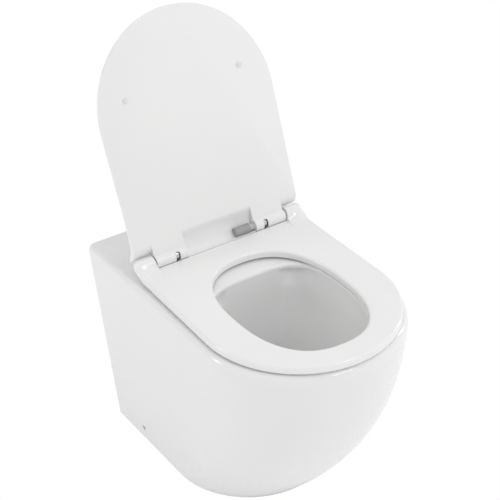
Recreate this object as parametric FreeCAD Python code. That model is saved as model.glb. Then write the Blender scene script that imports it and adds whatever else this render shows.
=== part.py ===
import FreeCAD
import Part
import math
import os

# Back-to-wall toilet: a hollow china pan with a hinged seat and a hinged lid.
# Millimetres. X runs to the right as seen from the front, the front faces -Y,
# the wall is at +Y and the floor is Z = 0. The origin is on the floor, under the
# middle of the pan's width and depth. The lid stands open, and the seat is down.

# Pan, outside
PAN_WIDTH = 381.0
PAN_DEPTH = 597.0
RIM_HEIGHT = 402.0
FOOT_NARROWER = 69.0
FOOT_SHORTER = 205.0
UNDERCUT_POWER = 2.0
# How long the rounded front is, as a share of half the width
RIM_ROUND_SHARE = 0.973
FOOT_ROUND_SHARE = 0.995
RIM_EDGE_RADIUS = 11.0
REAR_EDGE_RADIUS = 7.0
BACK_GRIND = 0.1
CHINA_WALL = 11.0
FRONT_WALL_FACTOR = 1.3
DECK_THICKNESS = 14.0

# Hinge axis of seat and lid
AXIS_TO_WALL = 159.0
AXIS_ABOVE_SEAT = 6.0
LID_OPEN_ANGLE = 110.8

# Bowl, measured from the hinge axis towards the front
BOWL_SIDE_LEDGE = 79.0
BOWL_FRONT_LEDGE = 44.0
LEDGE_REACH = 105.0
BOWL_WALL = 10.0
BOWL_EDGE_RADIUS = 5.0
BOWL_FRONT_POWER = 2.2
BOWL_ROWS = [
    # depth under the rim, how far the sides are drawn in as a share of half the width, how far the
    # rear comes forward, how far the front is drawn in and the widest line lies in front of the ledge,
    # both as shares of the length, and how square the rear is
    (0.0, 0.0, 0.0, 0.0, 0.45, 4.4),
    (30.0, 0.01, -1.0, 0.007, 0.45, 4.2),
    (80.0, 0.09, -4.0, 0.076, 0.417, 3.3),
    (140.0, 0.277, -5.0, 0.248, 0.355, 2.6),
    (200.0, 0.473, -4.0, 0.448, 0.266, 2.2),
    (255.0, 0.598, 0.0, 0.628, 0.19, 2.0),
]
SUMP_REACH = 150.0
SUMP_HEIGHT = 72.0
SUMP_STEP = 2.0
TRAP_RADIUS = 38.0
TRAP_BEND_RADIUS = 62.0
TRAP_RISE_ANGLE = 62.0
TRAP_FALL_ANGLE = 15.0
TRAP_INLET_LENGTH = 20.0
WEIR_CENTRE_HEIGHT = 194.0
SPIGOT_RADIUS = 51.0
SPIGOT_LENGTH = 45.0
SPIGOT_SETBACK = 70.0
INLET_DROP = 62.0
INLET_RADIUS = 27.5
INLET_WALL = 9.0
INLET_SETBACK = 60.0
FLUSH_MOUTH_WIDTH = 150.0
FLUSH_MOUTH_HEIGHT = 26.0
FLUSH_MOUTH_DEPTH = 30.0
FLUSH_CHAMBER_DEPTH = 35.0
LEDGE_THICKNESS = 24.0

# Seat ring
SEAT_SIDE_INSET = 10.5
SEAT_FRONT_INSET = 3.5
SEAT_REAR_TAPER = 4.0
SEAT_ROUND_SHARE = 1.04
SEAT_THICKNESS = 14.0
SEAT_LIFT = 4.0
SEAT_TOP_RADIUS = 4.5
SEAT_OPENING_RADIUS = 6.5
SEAT_BOTTOM_RADIUS = 1.5
SEAT_SIDE_BAR = 70.0
SEAT_FRONT_BAR = 49.0
OPENING_REAR_REACH = 67.0
OPENING_POWER = 2.4
EAR_RADIUS = 14.0
EAR_WIDTH = 36.8
EAR_END_INSET = 1.0
EAR_RAMP_REACH = 27.0
EAR_UNDER_REACH = 26.0
EAR_END_RADIUS = 3.0
NOTCH_REACH = 10.5

# Lid
LID_THICKNESS = 7.0
LID_GAP = 2.0
LID_FRONT_INSET = 2.0
LID_SIDE_INSET = 3.0
LID_TOP_RADIUS = 3.0
LID_REAR_REACH = 29.0
LID_CORNER_RADIUS = 15.0
LID_SWELL_REACH = 95.0
BARREL_RADIUS = 12.5
BARREL_BORE = 9.2
BARREL_INNER = 73.0
BARREL_SLOT = 9.5
SLOT_SPARE_ANGLE = 5.0
TROUGH_REACH = 33.0
TROUGH_DEPTH = 10.0

# Hinge hardware
FIT = 0.05
PRESS = 0.02
RUNNING_GAP = 1.0
OVER = 1.0
BOLT_SPACING = 155.0
DECK_HOLE_RADIUS = 7.0
POST_CENTRE = 94.0
POST_WIDTH = 6.5
POST_DEPTH = 10.0
POST_EYE_RADIUS = 8.6
POST_FOOT_RADIUS = 9.0
POST_FOOT_HEIGHT = 2.0
PIN_RADIUS = 4.0
PIN_CHAMFER = 0.6
PLATE_THICKNESS = 3.0
PLATE_WIDTH = 19.0
PLATE_MARGIN = 10.0
GASKET_THICKNESS = 1.5
BOLT_RADIUS = 4.0
BOLT_LENGTH = 66.0
BOLT_HEAD_RADIUS = 7.0
BOLT_HEAD_HEIGHT = 3.0
BOLT_SOCKET_RADIUS = 2.9
BOLT_SOCKET_FLOOR = 1.0
WASHER_RADIUS = 15.0
WASHER_THICKNESS = 4.0
WASHER_TAPER = 2.0
NUT_RADIUS = 11.0
NUT_HEIGHT = 14.0
NUT_WING = 19.0
NUT_WING_THICKNESS = 4.0
NUT_WING_DROP = 3.0
DAMPER_RADIUS = 9.0
DAMPER_CAVITY = 7.0
ROTOR_GAP = 0.4
ROTOR_FLAT_SHARE = 0.85
DAMPER_END = 2.0
DAMPER_RIM_RADIUS = 1.5
LID_DAMPER_START = 31.0
LID_DAMPER_END = 62.0
DAMPER_KEY_WIDTH = 5.0
DAMPER_KEY_HEIGHT = 1.8
COLLAR_RADIUS = 6.5
COLLAR_FLANGE = 4.0
COLLAR_END = 78.0
BUSH_GAP = 1.0
EAR_BORE_DEPTH = 32.5
EAR_BORE_INSET = 0.5
SEAT_CAP_THICKNESS = 3.0

# Pads and fixings
SEAT_PAD_LENGTH = 30.0
SEAT_PAD_WIDTH = 12.0
SEAT_PAD_PLUG = 3.0
PAD_CLEARANCE = 0.2
FRONT_PAD_INSET = 54.0
FRONT_PAD_SETBACK = 100.0
REAR_PAD_INSET = 33.0
REAR_PAD_REACH = 130.0
LID_PAD_RADIUS = 5.0
LID_PAD_ROUND_SHARE = 0.6
LID_PAD_PLUG = 2.5
LID_PAD_PLUG_RADIUS = 3.0
LID_PAD_INSET = 62.5
LID_PAD_SETBACK = 141.0
SIDE_SCREW_HEIGHT = 28.0
SIDE_SCREW_TO_WALL = 106.0
SIDE_HOLE_RADIUS = 5.2
SLEEVE_RADIUS = 5.0
SIDE_SCREW_RADIUS = 2.5
SIDE_HEAD_RADIUS = 4.3
SIDE_HEAD_HEIGHT = 2.5
SIDE_HEAD_SINK = 3.0
CROSS_LENGTH = 4.8
CROSS_WIDTH = 1.2
CROSS_DEPTH = 1.2
BRACKET_STANDOFF = 6.0
BRACKET_THICKNESS = 4.0
BRACKET_FOOT = 48.0
BRACKET_WIDTH = 40.0
BRACKET_HEIGHT = 56.0
BRACKET_FLOOR_HOLE = 3.3
SIDE_SCREW_TAIL = 8.0
CONE_LENGTH = 30.0
CONE_WALL = 4.5
CONE_FIN_HEIGHT = 1.0
CONE_FINS = 3
CONE_LIP_THICKNESS = 3.0
CONE_LIP_INSET = 2.0

# Places that follow from the sizes above
WALL_Y = PAN_DEPTH / 2
AXIS_Y = WALL_Y - AXIS_TO_WALL
FOOT_WIDTH = PAN_WIDTH - FOOT_NARROWER
SEAT_WIDTH = PAN_WIDTH - 2 * SEAT_SIDE_INSET
SEAT_REAR_WIDTH = SEAT_WIDTH - 2 * SEAT_REAR_TAPER
SEAT_REACH = PAN_DEPTH - AXIS_TO_WALL - SEAT_FRONT_INSET
BOWL_WIDTH = PAN_WIDTH - 2 * BOWL_SIDE_LEDGE
BOWL_REACH = PAN_DEPTH - AXIS_TO_WALL - BOWL_FRONT_LEDGE
OPENING_WIDTH = SEAT_WIDTH - 2 * SEAT_SIDE_BAR
OPENING_FRONT_REACH = SEAT_REACH - SEAT_FRONT_BAR
FRONT_PAD_X = SEAT_WIDTH / 2 - FRONT_PAD_INSET
FRONT_PAD_REACH = SEAT_REACH - FRONT_PAD_SETBACK
REAR_PAD_X = SEAT_WIDTH / 2 - REAR_PAD_INSET
LID_PAD_X = SEAT_WIDTH / 2 - LID_PAD_INSET
LID_PAD_REACH = SEAT_REACH - LID_PAD_SETBACK
INLET_HEIGHT = RIM_HEIGHT - INLET_DROP
SEAT_BOTTOM = RIM_HEIGHT + SEAT_LIFT
SEAT_TOP = SEAT_BOTTOM + SEAT_THICKNESS
AXIS_Z = SEAT_TOP + AXIS_ABOVE_SEAT
LID_UNDER = SEAT_TOP + LID_GAP
LID_TOP = LID_UNDER + LID_THICKNESS
DECK_UNDER = RIM_HEIGHT - DECK_THICKNESS
EAR_OUTER = SEAT_REAR_WIDTH / 2 - EAR_END_INSET
EAR_INNER = EAR_OUTER - EAR_WIDTH
BARREL_OUTER = EAR_INNER - RUNNING_GAP
BOLT_X = BOLT_SPACING / 2
PLATE_BOTTOM = RIM_HEIGHT + GASKET_THICKNESS
PLATE_TOP = PLATE_BOTTOM + PLATE_THICKNESS
EAR_BORE_END = EAR_INNER + EAR_BORE_DEPTH
SEAT_CAP_START = EAR_INNER + EAR_BORE_INSET
SEAT_CAP_END = SEAT_CAP_START + SEAT_CAP_THICKNESS
X_AXIS = FreeCAD.Vector(1, 0, 0)
Y_AXIS = FreeCAD.Vector(0, 1, 0)
HINGE = FreeCAD.Vector(0, AXIS_Y, AXIS_Z)
SIDES = {"left": -1, "right": 1}


def at(x, y, z):
    return FreeCAD.Vector(x, y, z)


def box(x0, x1, y0, y1, z0, z1):
    return Part.makeBox(x1 - x0, y1 - y0, z1 - z0, at(x0, y0, z0))


def upright(radius, height, x, y, z):
    return Part.makeCylinder(radius, height, at(x, y, z))


def along_x(radius, x0, x1, y=AXIS_Y, z=AXIS_Z):
    return Part.makeCylinder(radius, x1 - x0, at(x0, y, z), X_AXIS)


def sleeve(outer, inner, x0, x1):
    return along_x(outer, x0, x1).cut(along_x(inner, x0, x1))


def mirrored(shape):
    return shape.mirror(at(0, 0, 0), X_AXIS)


def on_side(shape, sign):
    return shape if sign > 0 else mirrored(shape)


def power_point(angle, half_x, half_y, power):
    """A point of a rounded oval: power 2 is an ellipse, more is squarer."""
    c = math.cos(angle)
    s = math.sin(angle)
    x = half_x * math.copysign(abs(c) ** (2 / power), c)
    y = half_y * math.copysign(abs(s) ** (2 / power), s)
    return x, y


def half_oval(half_width, length, middle, z):
    """Half an ellipse in plan that bulges to the front."""
    side = at(half_width, middle, z)
    front = at(0, middle - length, z)
    centre = at(0, middle, z)
    if length > half_width:
        return Part.Ellipse(front, side, centre).toShape(-math.pi / 2, math.pi / 2)
    return Part.Ellipse(side, front, centre).toShape(0, math.pi)


def d_outline(half_width, rear_half_width, back, front, round_length, z, corner=0.0):
    """A D in plan: straight back, two long sides, and a front that is half an oval."""
    middle = front + round_length
    side_end = at(rear_half_width, back - corner, z)
    back_end = at(rear_half_width - corner, back, z)

    def flipped(v):
        return at(-v.x, v.y, v.z)

    start = at(half_width, middle, z)
    edges = [
        Part.makeLine(side_end, start),
        half_oval(half_width, round_length, middle, z),
        Part.makeLine(flipped(start), flipped(side_end)),
    ]
    if corner:
        near = corner * (1 - math.sqrt(0.5))
        bend = at(rear_half_width - near, back - near, z)
        edges.append(Part.Arc(flipped(side_end), flipped(bend), flipped(back_end)).toShape())
        edges.append(Part.makeLine(flipped(back_end), back_end))
        edges.append(Part.Arc(back_end, bend, side_end).toShape())
    else:
        edges.append(Part.makeLine(flipped(side_end), side_end))
    return Part.Wire(edges)


def oval_outline(half_width, rear, front, widest, rear_power, front_power, z):
    """A closed oval in plan whose rear half can be squarer than its front half."""
    steps = 32
    points = []
    for i in range(steps):
        angle = 2 * math.pi * i / steps
        half_y, power = (rear - widest, rear_power) if math.sin(angle) >= 0 else (widest - front, front_power)
        x, y = power_point(angle, half_width, half_y, power)
        points.append(at(x, widest + y, z))
    curve = Part.BSplineCurve()
    curve.interpolate(Points=points, PeriodicFlag=True)
    return Part.Wire([curve.toShape()])


def yz_prism(edges, x0, x1):
    """A profile drawn in the YZ plane at X = 0, drawn out from x0 to x1."""
    face = Part.Face(Part.Wire(edges))
    face.translate(at(x0, 0, 0))
    return face.extrude(at(x1 - x0, 0, 0))


def from_axis(reach, height):
    """A point of a profile, given by its reach in front of the hinge axis and its height over it."""
    return at(0, AXIS_Y - reach, AXIS_Z + height)


def on_circle(radius, degrees):
    """A point on a circle round the hinge axis: 0 is the front, 90 the top, 180 the back."""
    angle = math.radians(degrees)
    return from_axis(radius * math.cos(angle), radius * math.sin(angle))


def touch_angle(reach, height, radius, over):
    """Where a line from an outer point touches a circle round the axis, over or under it."""
    direction = math.degrees(math.atan2(height, reach))
    swing = math.degrees(math.acos(radius / math.hypot(reach, height)))
    return direction + swing if over else direction - swing


def edges_at(shape, z, keep):
    """Edges that lie level at height z and whose middle passes the test."""
    found = []
    for edge in shape.Edges:
        level = abs(edge.BoundBox.ZMin - z) < 0.01 and abs(edge.BoundBox.ZMax - z) < 0.01
        if level and keep(edge.CenterOfMass):
            found.append(edge)
    return found


def save(name, shape):
    shape.exportStep("parts/" + name + ".step")


# Pan: outer body and hollow

def pan_side(z):
    """Half the pan's width, outside, at one height."""
    return PAN_WIDTH / 2 - FOOT_NARROWER / 2 * (1 - z / RIM_HEIGHT)


def pan_section(z, inset, front_inset, back, corner):
    """The pan's D at one height, drawn in at the sides and at the front."""
    fall = max(0.0, 1 - z / RIM_HEIGHT)
    half_width = pan_side(min(z, RIM_HEIGHT))
    depth = PAN_DEPTH - FOOT_SHORTER * fall ** UNDERCUT_POWER - front_inset
    length = half_width * (RIM_ROUND_SHARE + (FOOT_ROUND_SHARE - RIM_ROUND_SHARE) * fall)
    side = half_width - inset
    return d_outline(side, side, back, WALL_Y - depth, length - inset, z, corner)


def pan_loft(bottom, top, inset, front_inset, back, corner):
    levels = 7
    heights = [bottom + (top - bottom) * i / (levels - 1) for i in range(levels)]
    return Part.makeLoft([pan_section(z, inset, front_inset, back, corner) for z in heights], True, False)


def rim_cap():
    """The top of the pan, whose sides and front turn over in a quarter circle."""
    steps = 5
    wires = []
    for i in range(steps + 1):
        angle = math.pi / 2 * i / steps
        inset = RIM_EDGE_RADIUS * (1 - math.cos(angle))
        z = RIM_HEIGHT - RIM_EDGE_RADIUS * (1 - math.sin(angle))
        wires.append(pan_section(z, inset, inset, WALL_Y + BACK_GRIND, REAR_EDGE_RADIUS))
    return Part.makeLoft(wires, True, False)


def slab(z0, z1):
    """Everything in front of the wall between two heights."""
    return box(-PAN_WIDTH, PAN_WIDTH, WALL_Y - 2 * PAN_DEPTH, WALL_Y, z0, z1)


def pan_body():
    """The whole outside of the pan, ground flat where it meets the wall."""
    body = pan_loft(0.0, RIM_HEIGHT - RIM_EDGE_RADIUS, 0.0, 0.0, WALL_Y + BACK_GRIND, REAR_EDGE_RADIUS)
    return body.fuse(rim_cap()).common(slab(0.0, RIM_HEIGHT))


# Pan: bowl and waterways

def bowl_loft(wall):
    """The bowl from the rim down to its round sump, made larger by a wall."""
    neck = TRAP_RADIUS - SUMP_STEP
    half = BOWL_WIDTH / 2
    length = BOWL_REACH - LEDGE_REACH
    ledge = AXIS_Y - LEDGE_REACH
    wires = []
    for depth, side, back, nose, widest, power in BOWL_ROWS:
        wires.append(oval_outline(half * (1 - side) + wall, ledge - back + wall,
                                  ledge - length * (1 - nose) - wall, ledge - length * widest,
                                  power, BOWL_FRONT_POWER, RIM_HEIGHT - depth))
    sump = AXIS_Y - SUMP_REACH
    wires.append(oval_outline(neck + wall, sump + neck + wall, sump - neck - wall, sump, 2, 2, SUMP_HEIGHT))
    bowl = Part.makeLoft(wires, True, False)
    return bowl.fuse(Part.makeSphere(TRAP_RADIUS + wall, at(0, sump, SUMP_HEIGHT)))


def trap_path():
    """Centre line of the waterway: out of the sump, over the weir and level to the outlet."""
    rise = math.radians(TRAP_RISE_ANGLE)
    fall = math.radians(TRAP_FALL_ANGLE)
    r = TRAP_BEND_RADIUS
    p0 = (AXIS_Y - SUMP_REACH, SUMP_HEIGHT)
    p1 = (p0[0] + TRAP_INLET_LENGTH, p0[1])
    p2 = (p1[0] + r * math.sin(rise), p1[1] + r * (1 - math.cos(rise)))
    climb = (WEIR_CENTRE_HEIGHT - r * (1 - math.cos(rise)) - p2[1]) / math.sin(rise)
    p3 = (p2[0] + climb * math.cos(rise), p2[1] + climb * math.sin(rise))
    crest = (p3[0] + r * math.sin(rise), WEIR_CENTRE_HEIGHT)
    p4 = (crest[0] + r * math.sin(fall), crest[1] - r * (1 - math.cos(fall)))
    p5 = (p4[0] + r * math.sin(fall), p4[1] - r * (1 - math.cos(fall)))
    end = (WALL_Y - SPIGOT_SETBACK, p5[1])
    first = (p1[0] + r * math.sin(rise / 2), p1[1] + r * (1 - math.cos(rise / 2)))
    last = (p4[0] + r * (math.sin(fall) - math.sin(fall / 2)), p5[1] + r * (1 - math.cos(fall / 2)))

    def spot(p):
        return at(0, p[0], p[1])

    edges = [
        Part.makeLine(spot(p0), spot(p1)),
        Part.Arc(spot(p1), spot(first), spot(p2)).toShape(),
        Part.makeLine(spot(p2), spot(p3)),
        Part.Arc(spot(p3), spot(crest), spot(p4)).toShape(),
        Part.Arc(spot(p4), spot(last), spot(p5)).toShape(),
        Part.makeLine(spot(p5), spot(end)),
    ]
    return Part.Wire(edges), end


TRAP_PATH, OUTLET = trap_path()
OUTLET_Z = OUTLET[1]


def trap_tube(radius):
    start = at(0, AXIS_Y - SUMP_REACH, SUMP_HEIGHT)
    ring = Part.Wire([Part.makeCircle(radius, start, Y_AXIS)])
    return TRAP_PATH.makePipeShell([ring], True, False)


def inlet_bar(radius, front, back):
    return Part.makeCylinder(radius, back - front, at(0, front, INLET_HEIGHT), Y_AXIS)


LEDGE_UNDER = RIM_HEIGHT - LEDGE_THICKNESS
MOUTH_BACK = AXIS_Y - LEDGE_REACH + FLUSH_MOUTH_DEPTH
CHAMBER_BACK = MOUTH_BACK + FLUSH_CHAMBER_DEPTH
INLET_END = WALL_Y - INLET_SETBACK


def flush_passage(wall):
    """Inlet, chamber and the wide mouth under the ledge, made larger by a wall."""
    half = FLUSH_MOUTH_WIDTH / 2 + wall
    mouth_low = LEDGE_UNDER - FLUSH_MOUTH_HEIGHT - wall
    chamber_low = INLET_HEIGHT - INLET_RADIUS - wall
    mouth_front = AXIS_Y - LEDGE_REACH - (0 if wall else BOWL_WALL)
    top = DECK_UNDER if wall else LEDGE_UNDER
    mouth = box(-half, half, mouth_front, MOUTH_BACK + wall, mouth_low, top)
    chamber = box(-half, half, MOUTH_BACK - OVER, CHAMBER_BACK + wall, chamber_low, top)
    inlet = inlet_bar(INLET_RADIUS + wall, CHAMBER_BACK - OVER, INLET_END)
    return mouth.fuse([chamber, inlet])


# The china is cast in five sections that meet face to face

def make_pan_rim():
    """The deck and rim, with the bowl's mouth and the two holes for the seat bolts."""
    rim = pan_body().common(slab(DECK_UNDER, RIM_HEIGHT)).cut(bowl_loft(0.0))
    middle = AXIS_Y - (LEDGE_REACH + BOWL_REACH) / 2
    near = BOWL_WIDTH / 4
    mouth = edges_at(rim, RIM_HEIGHT, lambda p: abs(p.x) < near and abs(p.y - middle) < near)
    rim = rim.makeFillet(BOWL_EDGE_RADIUS, mouth)
    return rim.cut([upright(DECK_HOLE_RADIUS, DECK_THICKNESS, sign * BOLT_X, AXIS_Y, DECK_UNDER)
                    for sign in SIDES.values()])


def make_pan_skirt():
    """The shroud under the deck, open at the back and at the foot."""
    hollow = pan_loft(-OVER, DECK_UNDER + OVER, CHINA_WALL, CHINA_WALL * FRONT_WALL_FACTOR, WALL_Y + OVER, 0.0)
    skirt = pan_body().common(slab(0.0, DECK_UNDER)).cut(hollow)
    return skirt.cut([on_side(level_bar(SIDE_HOLE_RADIUS, BRACKET_X, PAN_WIDTH / 2), sign)
                      for sign in SIDES.values()])


def make_pan_bowl():
    shell = bowl_loft(BOWL_WALL).common(slab(0.0, DECK_UNDER))
    return shell.cut([bowl_loft(0.0), trap_tube(TRAP_RADIUS), flush_passage(0.0)])


def make_pan_trap():
    spigot = Part.makeCylinder(SPIGOT_RADIUS, SPIGOT_LENGTH, at(0, OUTLET[0] - SPIGOT_LENGTH, OUTLET_Z), Y_AXIS)
    tube = trap_tube(TRAP_RADIUS + BOWL_WALL).fuse(spigot)
    return tube.cut([bowl_loft(BOWL_WALL), trap_tube(TRAP_RADIUS)])


def make_pan_flush():
    return flush_passage(INLET_WALL).cut([bowl_loft(BOWL_WALL), flush_passage(0.0)])


# Seat

def ear_profile():
    """Side view of a hinge ear: a round knuckle with a ramp down to the ring."""
    drop = AXIS_Z - SEAT_TOP
    under = AXIS_Z - SEAT_BOTTOM
    over_angle = touch_angle(EAR_RAMP_REACH, -drop, EAR_RADIUS, True)
    under_angle = touch_angle(EAR_UNDER_REACH, -under, EAR_RADIUS, False)
    ramp_top = on_circle(EAR_RADIUS, over_angle)
    ramp_foot = from_axis(EAR_RAMP_REACH, -drop)
    under_foot = from_axis(EAR_UNDER_REACH, -under)
    under_top = on_circle(EAR_RADIUS, under_angle)
    back = on_circle(EAR_RADIUS, 180)
    return [
        Part.makeLine(under_foot, ramp_foot),
        Part.makeLine(ramp_foot, ramp_top),
        Part.Arc(ramp_top, back, under_top).toShape(),
        Part.makeLine(under_top, under_foot),
    ]


def make_ear(sign):
    ear = yz_prism(ear_profile(), EAR_INNER, EAR_OUTER)

    def is_outer_end(edge):
        return edge.BoundBox.XMin > EAR_OUTER - 0.01 and edge.BoundBox.YMax > AXIS_Y - EAR_RAMP_REACH + 1

    ear = ear.makeFillet(EAR_END_RADIUS, [e for e in ear.Edges if is_outer_end(e)])
    return on_side(ear, sign)


def make_seat_ring():
    plate_rear = AXIS_Y - EAR_UNDER_REACH
    half = SEAT_WIDTH / 2
    outline = d_outline(half, SEAT_REAR_WIDTH / 2, plate_rear, AXIS_Y - SEAT_REACH,
                        half * SEAT_ROUND_SHARE, SEAT_BOTTOM)
    plate = Part.Face(outline).extrude(at(0, 0, SEAT_THICKNESS))
    middle = AXIS_Y - (OPENING_REAR_REACH + OPENING_FRONT_REACH) / 2
    hole = oval_outline(OPENING_WIDTH / 2, AXIS_Y - OPENING_REAR_REACH, AXIS_Y - OPENING_FRONT_REACH,
                        middle, OPENING_POWER, OPENING_POWER, SEAT_BOTTOM - OVER)
    ring = plate.cut(Part.Face(hole).extrude(at(0, 0, SEAT_THICKNESS + 2 * OVER)))
    in_hole = OPENING_WIDTH / 4

    def is_hole(p):
        return abs(p.x) < in_hole and abs(p.y - middle) < in_hole

    def is_outside(p):
        return p.y < plate_rear - 1 and not is_hole(p)

    ring = ring.makeFillet(SEAT_TOP_RADIUS, edges_at(ring, SEAT_TOP, is_outside))
    ring = ring.makeFillet(SEAT_OPENING_RADIUS, edges_at(ring, SEAT_TOP, is_hole))
    ring = ring.makeFillet(SEAT_BOTTOM_RADIUS, edges_at(ring, SEAT_BOTTOM, lambda p: p.y < plate_rear - 1))
    # The rear bar between the ears reaches back to the lid's barrels, hollowed round them.
    bar = box(-EAR_INNER, EAR_INNER, plate_rear - OVER, AXIS_Y - NOTCH_REACH, SEAT_BOTTOM, SEAT_TOP)
    bar = bar.cut(along_x(BARREL_RADIUS + RUNNING_GAP, -EAR_INNER, EAR_INNER))
    ring = ring.fuse([bar, make_ear(1), make_ear(-1)]).removeSplitter()
    bores = [along_x(DAMPER_RADIUS + FIT, EAR_INNER - OVER, EAR_BORE_END)]
    bores.append(mirrored(bores[0]))
    for x, y in seat_pad_places():
        bores.append(pad_plug(x, y))
    return ring.cut(bores)


def seat_pad_places():
    places = []
    for sign in SIDES.values():
        places.append((sign * FRONT_PAD_X, AXIS_Y - FRONT_PAD_REACH))
        places.append((sign * REAR_PAD_X, AXIS_Y - REAR_PAD_REACH))
    return places


def pad_plug(x, y):
    """The stub of a seat pad that sits in the ring's underside."""
    return upright(SEAT_PAD_WIDTH / 3, SEAT_PAD_PLUG, x, y, SEAT_BOTTOM)


def make_seat_pad(x, y):
    half = SEAT_PAD_LENGTH / 2 - SEAT_PAD_WIDTH / 2
    radius = SEAT_PAD_WIDTH / 2
    low = RIM_HEIGHT + PAD_CLEARANCE
    height = SEAT_BOTTOM - low
    pad = box(x - radius, x + radius, y - half, y + half, low, SEAT_BOTTOM)
    pad = pad.fuse([upright(radius, height, x, y - half, low), upright(radius, height, x, y + half, low)])
    return pad.fuse(pad_plug(x, y)).removeSplitter()


# Lid, drawn closed and then turned open about the hinge axis

def opened(shape):
    turned = shape.copy()
    turned.rotate(HINGE, X_AXIS, -LID_OPEN_ANGLE)
    return turned


def lid_plate():
    rear = AXIS_Y - LID_REAR_REACH
    front = AXIS_Y - SEAT_REACH + LID_FRONT_INSET
    half = SEAT_WIDTH / 2 - LID_SIDE_INSET
    outline = d_outline(half, half - SEAT_REAR_TAPER, rear, front, half * SEAT_ROUND_SHARE, LID_UNDER)
    face = Part.Face(outline)
    plate = face.extrude(at(0, 0, LID_THICKNESS))
    tall = face.extrude(at(0, 0, LID_THICKNESS + BARREL_RADIUS))

    def is_corner(edge):
        return edge.BoundBox.ZLength > 1 and edge.BoundBox.YMin > rear - 1

    plate = plate.makeFillet(LID_CORNER_RADIUS, [e for e in plate.Edges if is_corner(e)])
    tall = tall.makeFillet(LID_CORNER_RADIUS, [e for e in tall.Edges if is_corner(e)])
    swell = yz_prism(swell_profile(), -half, half).common(tall)
    plate = plate.makeFillet(LID_TOP_RADIUS, edges_at(plate, LID_TOP, lambda p: p.y < rear - 1))
    return plate.fuse(swell)


def swell_profile():
    """Side view of the lid's rear, which thickens towards the barrels."""
    rise = touch_angle(LID_SWELL_REACH, LID_TOP - AXIS_Z, BARREL_RADIUS, True)
    touch = on_circle(BARREL_RADIUS, rise)
    start = from_axis(LID_SWELL_REACH, LID_TOP - AXIS_Z)
    share = (LID_SWELL_REACH - LID_REAR_REACH) / (touch.y - start.y)
    end = from_axis(LID_REAR_REACH, LID_TOP - AXIS_Z + (touch.z - start.z) * share)
    low_end = from_axis(LID_REAR_REACH, LID_UNDER - AXIS_Z)
    low_start = from_axis(LID_SWELL_REACH, LID_UNDER - AXIS_Z)
    return [
        Part.makeLine(low_start, start),
        Part.makeLine(start, end),
        Part.makeLine(end, low_end),
        Part.makeLine(low_end, low_start),
    ]


def barrel_profile():
    """Side view of a barrel with the webs that join it to the lid."""
    rise = touch_angle(LID_SWELL_REACH, LID_TOP - AXIS_Z, BARREL_RADIUS, True)
    dip = math.degrees(math.asin((LID_UNDER - AXIS_Z) / BARREL_RADIUS))
    top_start = from_axis(LID_SWELL_REACH, LID_TOP - AXIS_Z)
    low_start = from_axis(LID_SWELL_REACH, LID_UNDER - AXIS_Z)
    top = on_circle(BARREL_RADIUS, rise)
    back = on_circle(BARREL_RADIUS, 180)
    low = on_circle(BARREL_RADIUS, dip)
    return [
        Part.makeLine(low_start, top_start),
        Part.makeLine(top_start, top),
        Part.Arc(top, back, low).toShape(),
        Part.makeLine(low, low_start),
    ]


def slot_sector():
    """The sweep of a hinge post through a barrel as the lid turns, seen from the lid."""
    margin = math.degrees(math.asin(POST_DEPTH / 2 / BARREL_BORE)) + SLOT_SPARE_ANGLE
    start = -90 + margin
    stop = -90 - LID_OPEN_ANGLE - margin
    steps = 12
    reach = BARREL_RADIUS * 1.5
    corners = [HINGE]
    for i in range(steps + 1):
        corners.append(on_circle(reach, start + (stop - start) * i / steps))
    corners.append(HINGE)
    edges = [Part.makeLine(a, b) for a, b in zip(corners, corners[1:])]
    return yz_prism(edges, POST_CENTRE - BARREL_SLOT / 2, POST_CENTRE + BARREL_SLOT / 2)


def damper_key(width, height):
    """The rib that stops the lid's damper from turning in its trough."""
    return box(LID_DAMPER_START, LID_DAMPER_END, AXIS_Y - width / 2, AXIS_Y + width / 2,
               AXIS_Z + DAMPER_RADIUS - OVER, AXIS_Z + DAMPER_RADIUS + height)


def trough():
    """The hollow between the barrels: a round seat for the damper and a shallow scoop in front."""
    seat = along_x(DAMPER_RADIUS + FIT * 2, -BARREL_INNER, BARREL_INNER)
    half = TROUGH_REACH / 2
    low = LID_UNDER - AXIS_Z
    front = from_axis(TROUGH_REACH, low)
    rear = from_axis(0.0, low)
    scoop_arc = Part.Arc(front, from_axis(half, low + TROUGH_DEPTH), rear)
    scoop = yz_prism([scoop_arc.toShape(), Part.makeLine(rear, front)], -BARREL_INNER, BARREL_INNER)
    below = box(-BARREL_INNER, BARREL_INNER, AXIS_Y - TROUGH_REACH, AXIS_Y + BARREL_RADIUS + OVER,
                AXIS_Z - BARREL_RADIUS * 2, AXIS_Z + low)
    return seat.fuse([scoop, below])


def make_lid():
    barrel = yz_prism(barrel_profile(), -BARREL_OUTER, BARREL_OUTER)
    lid = lid_plate().fuse(barrel).removeSplitter()
    cuts = [trough(), damper_key(DAMPER_KEY_WIDTH + 2 * FIT, DAMPER_KEY_HEIGHT + FIT)]
    for sign in SIDES.values():
        cuts.append(on_side(along_x(BARREL_BORE, BARREL_INNER - OVER, BARREL_OUTER + OVER), sign))
        cuts.append(on_side(slot_sector(), sign))
        cuts.append(lid_pad_plug(sign))
    return lid.cut(cuts)


def lid_pad_plug(sign):
    """The stub of a lid pad that sits in the lid's underside."""
    return upright(LID_PAD_PLUG_RADIUS, LID_PAD_PLUG, sign * LID_PAD_X, AXIS_Y - LID_PAD_REACH, LID_UNDER)


def make_lid_pad(sign):
    height = LID_GAP - PAD_CLEARANCE
    pad = upright(LID_PAD_RADIUS, height, sign * LID_PAD_X, AXIS_Y - LID_PAD_REACH, LID_UNDER - height)
    pad = pad.makeFillet(height * LID_PAD_ROUND_SHARE, edges_at(pad, LID_UNDER - height, lambda p: True))
    return pad.fuse(lid_pad_plug(sign)).removeSplitter()


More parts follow.
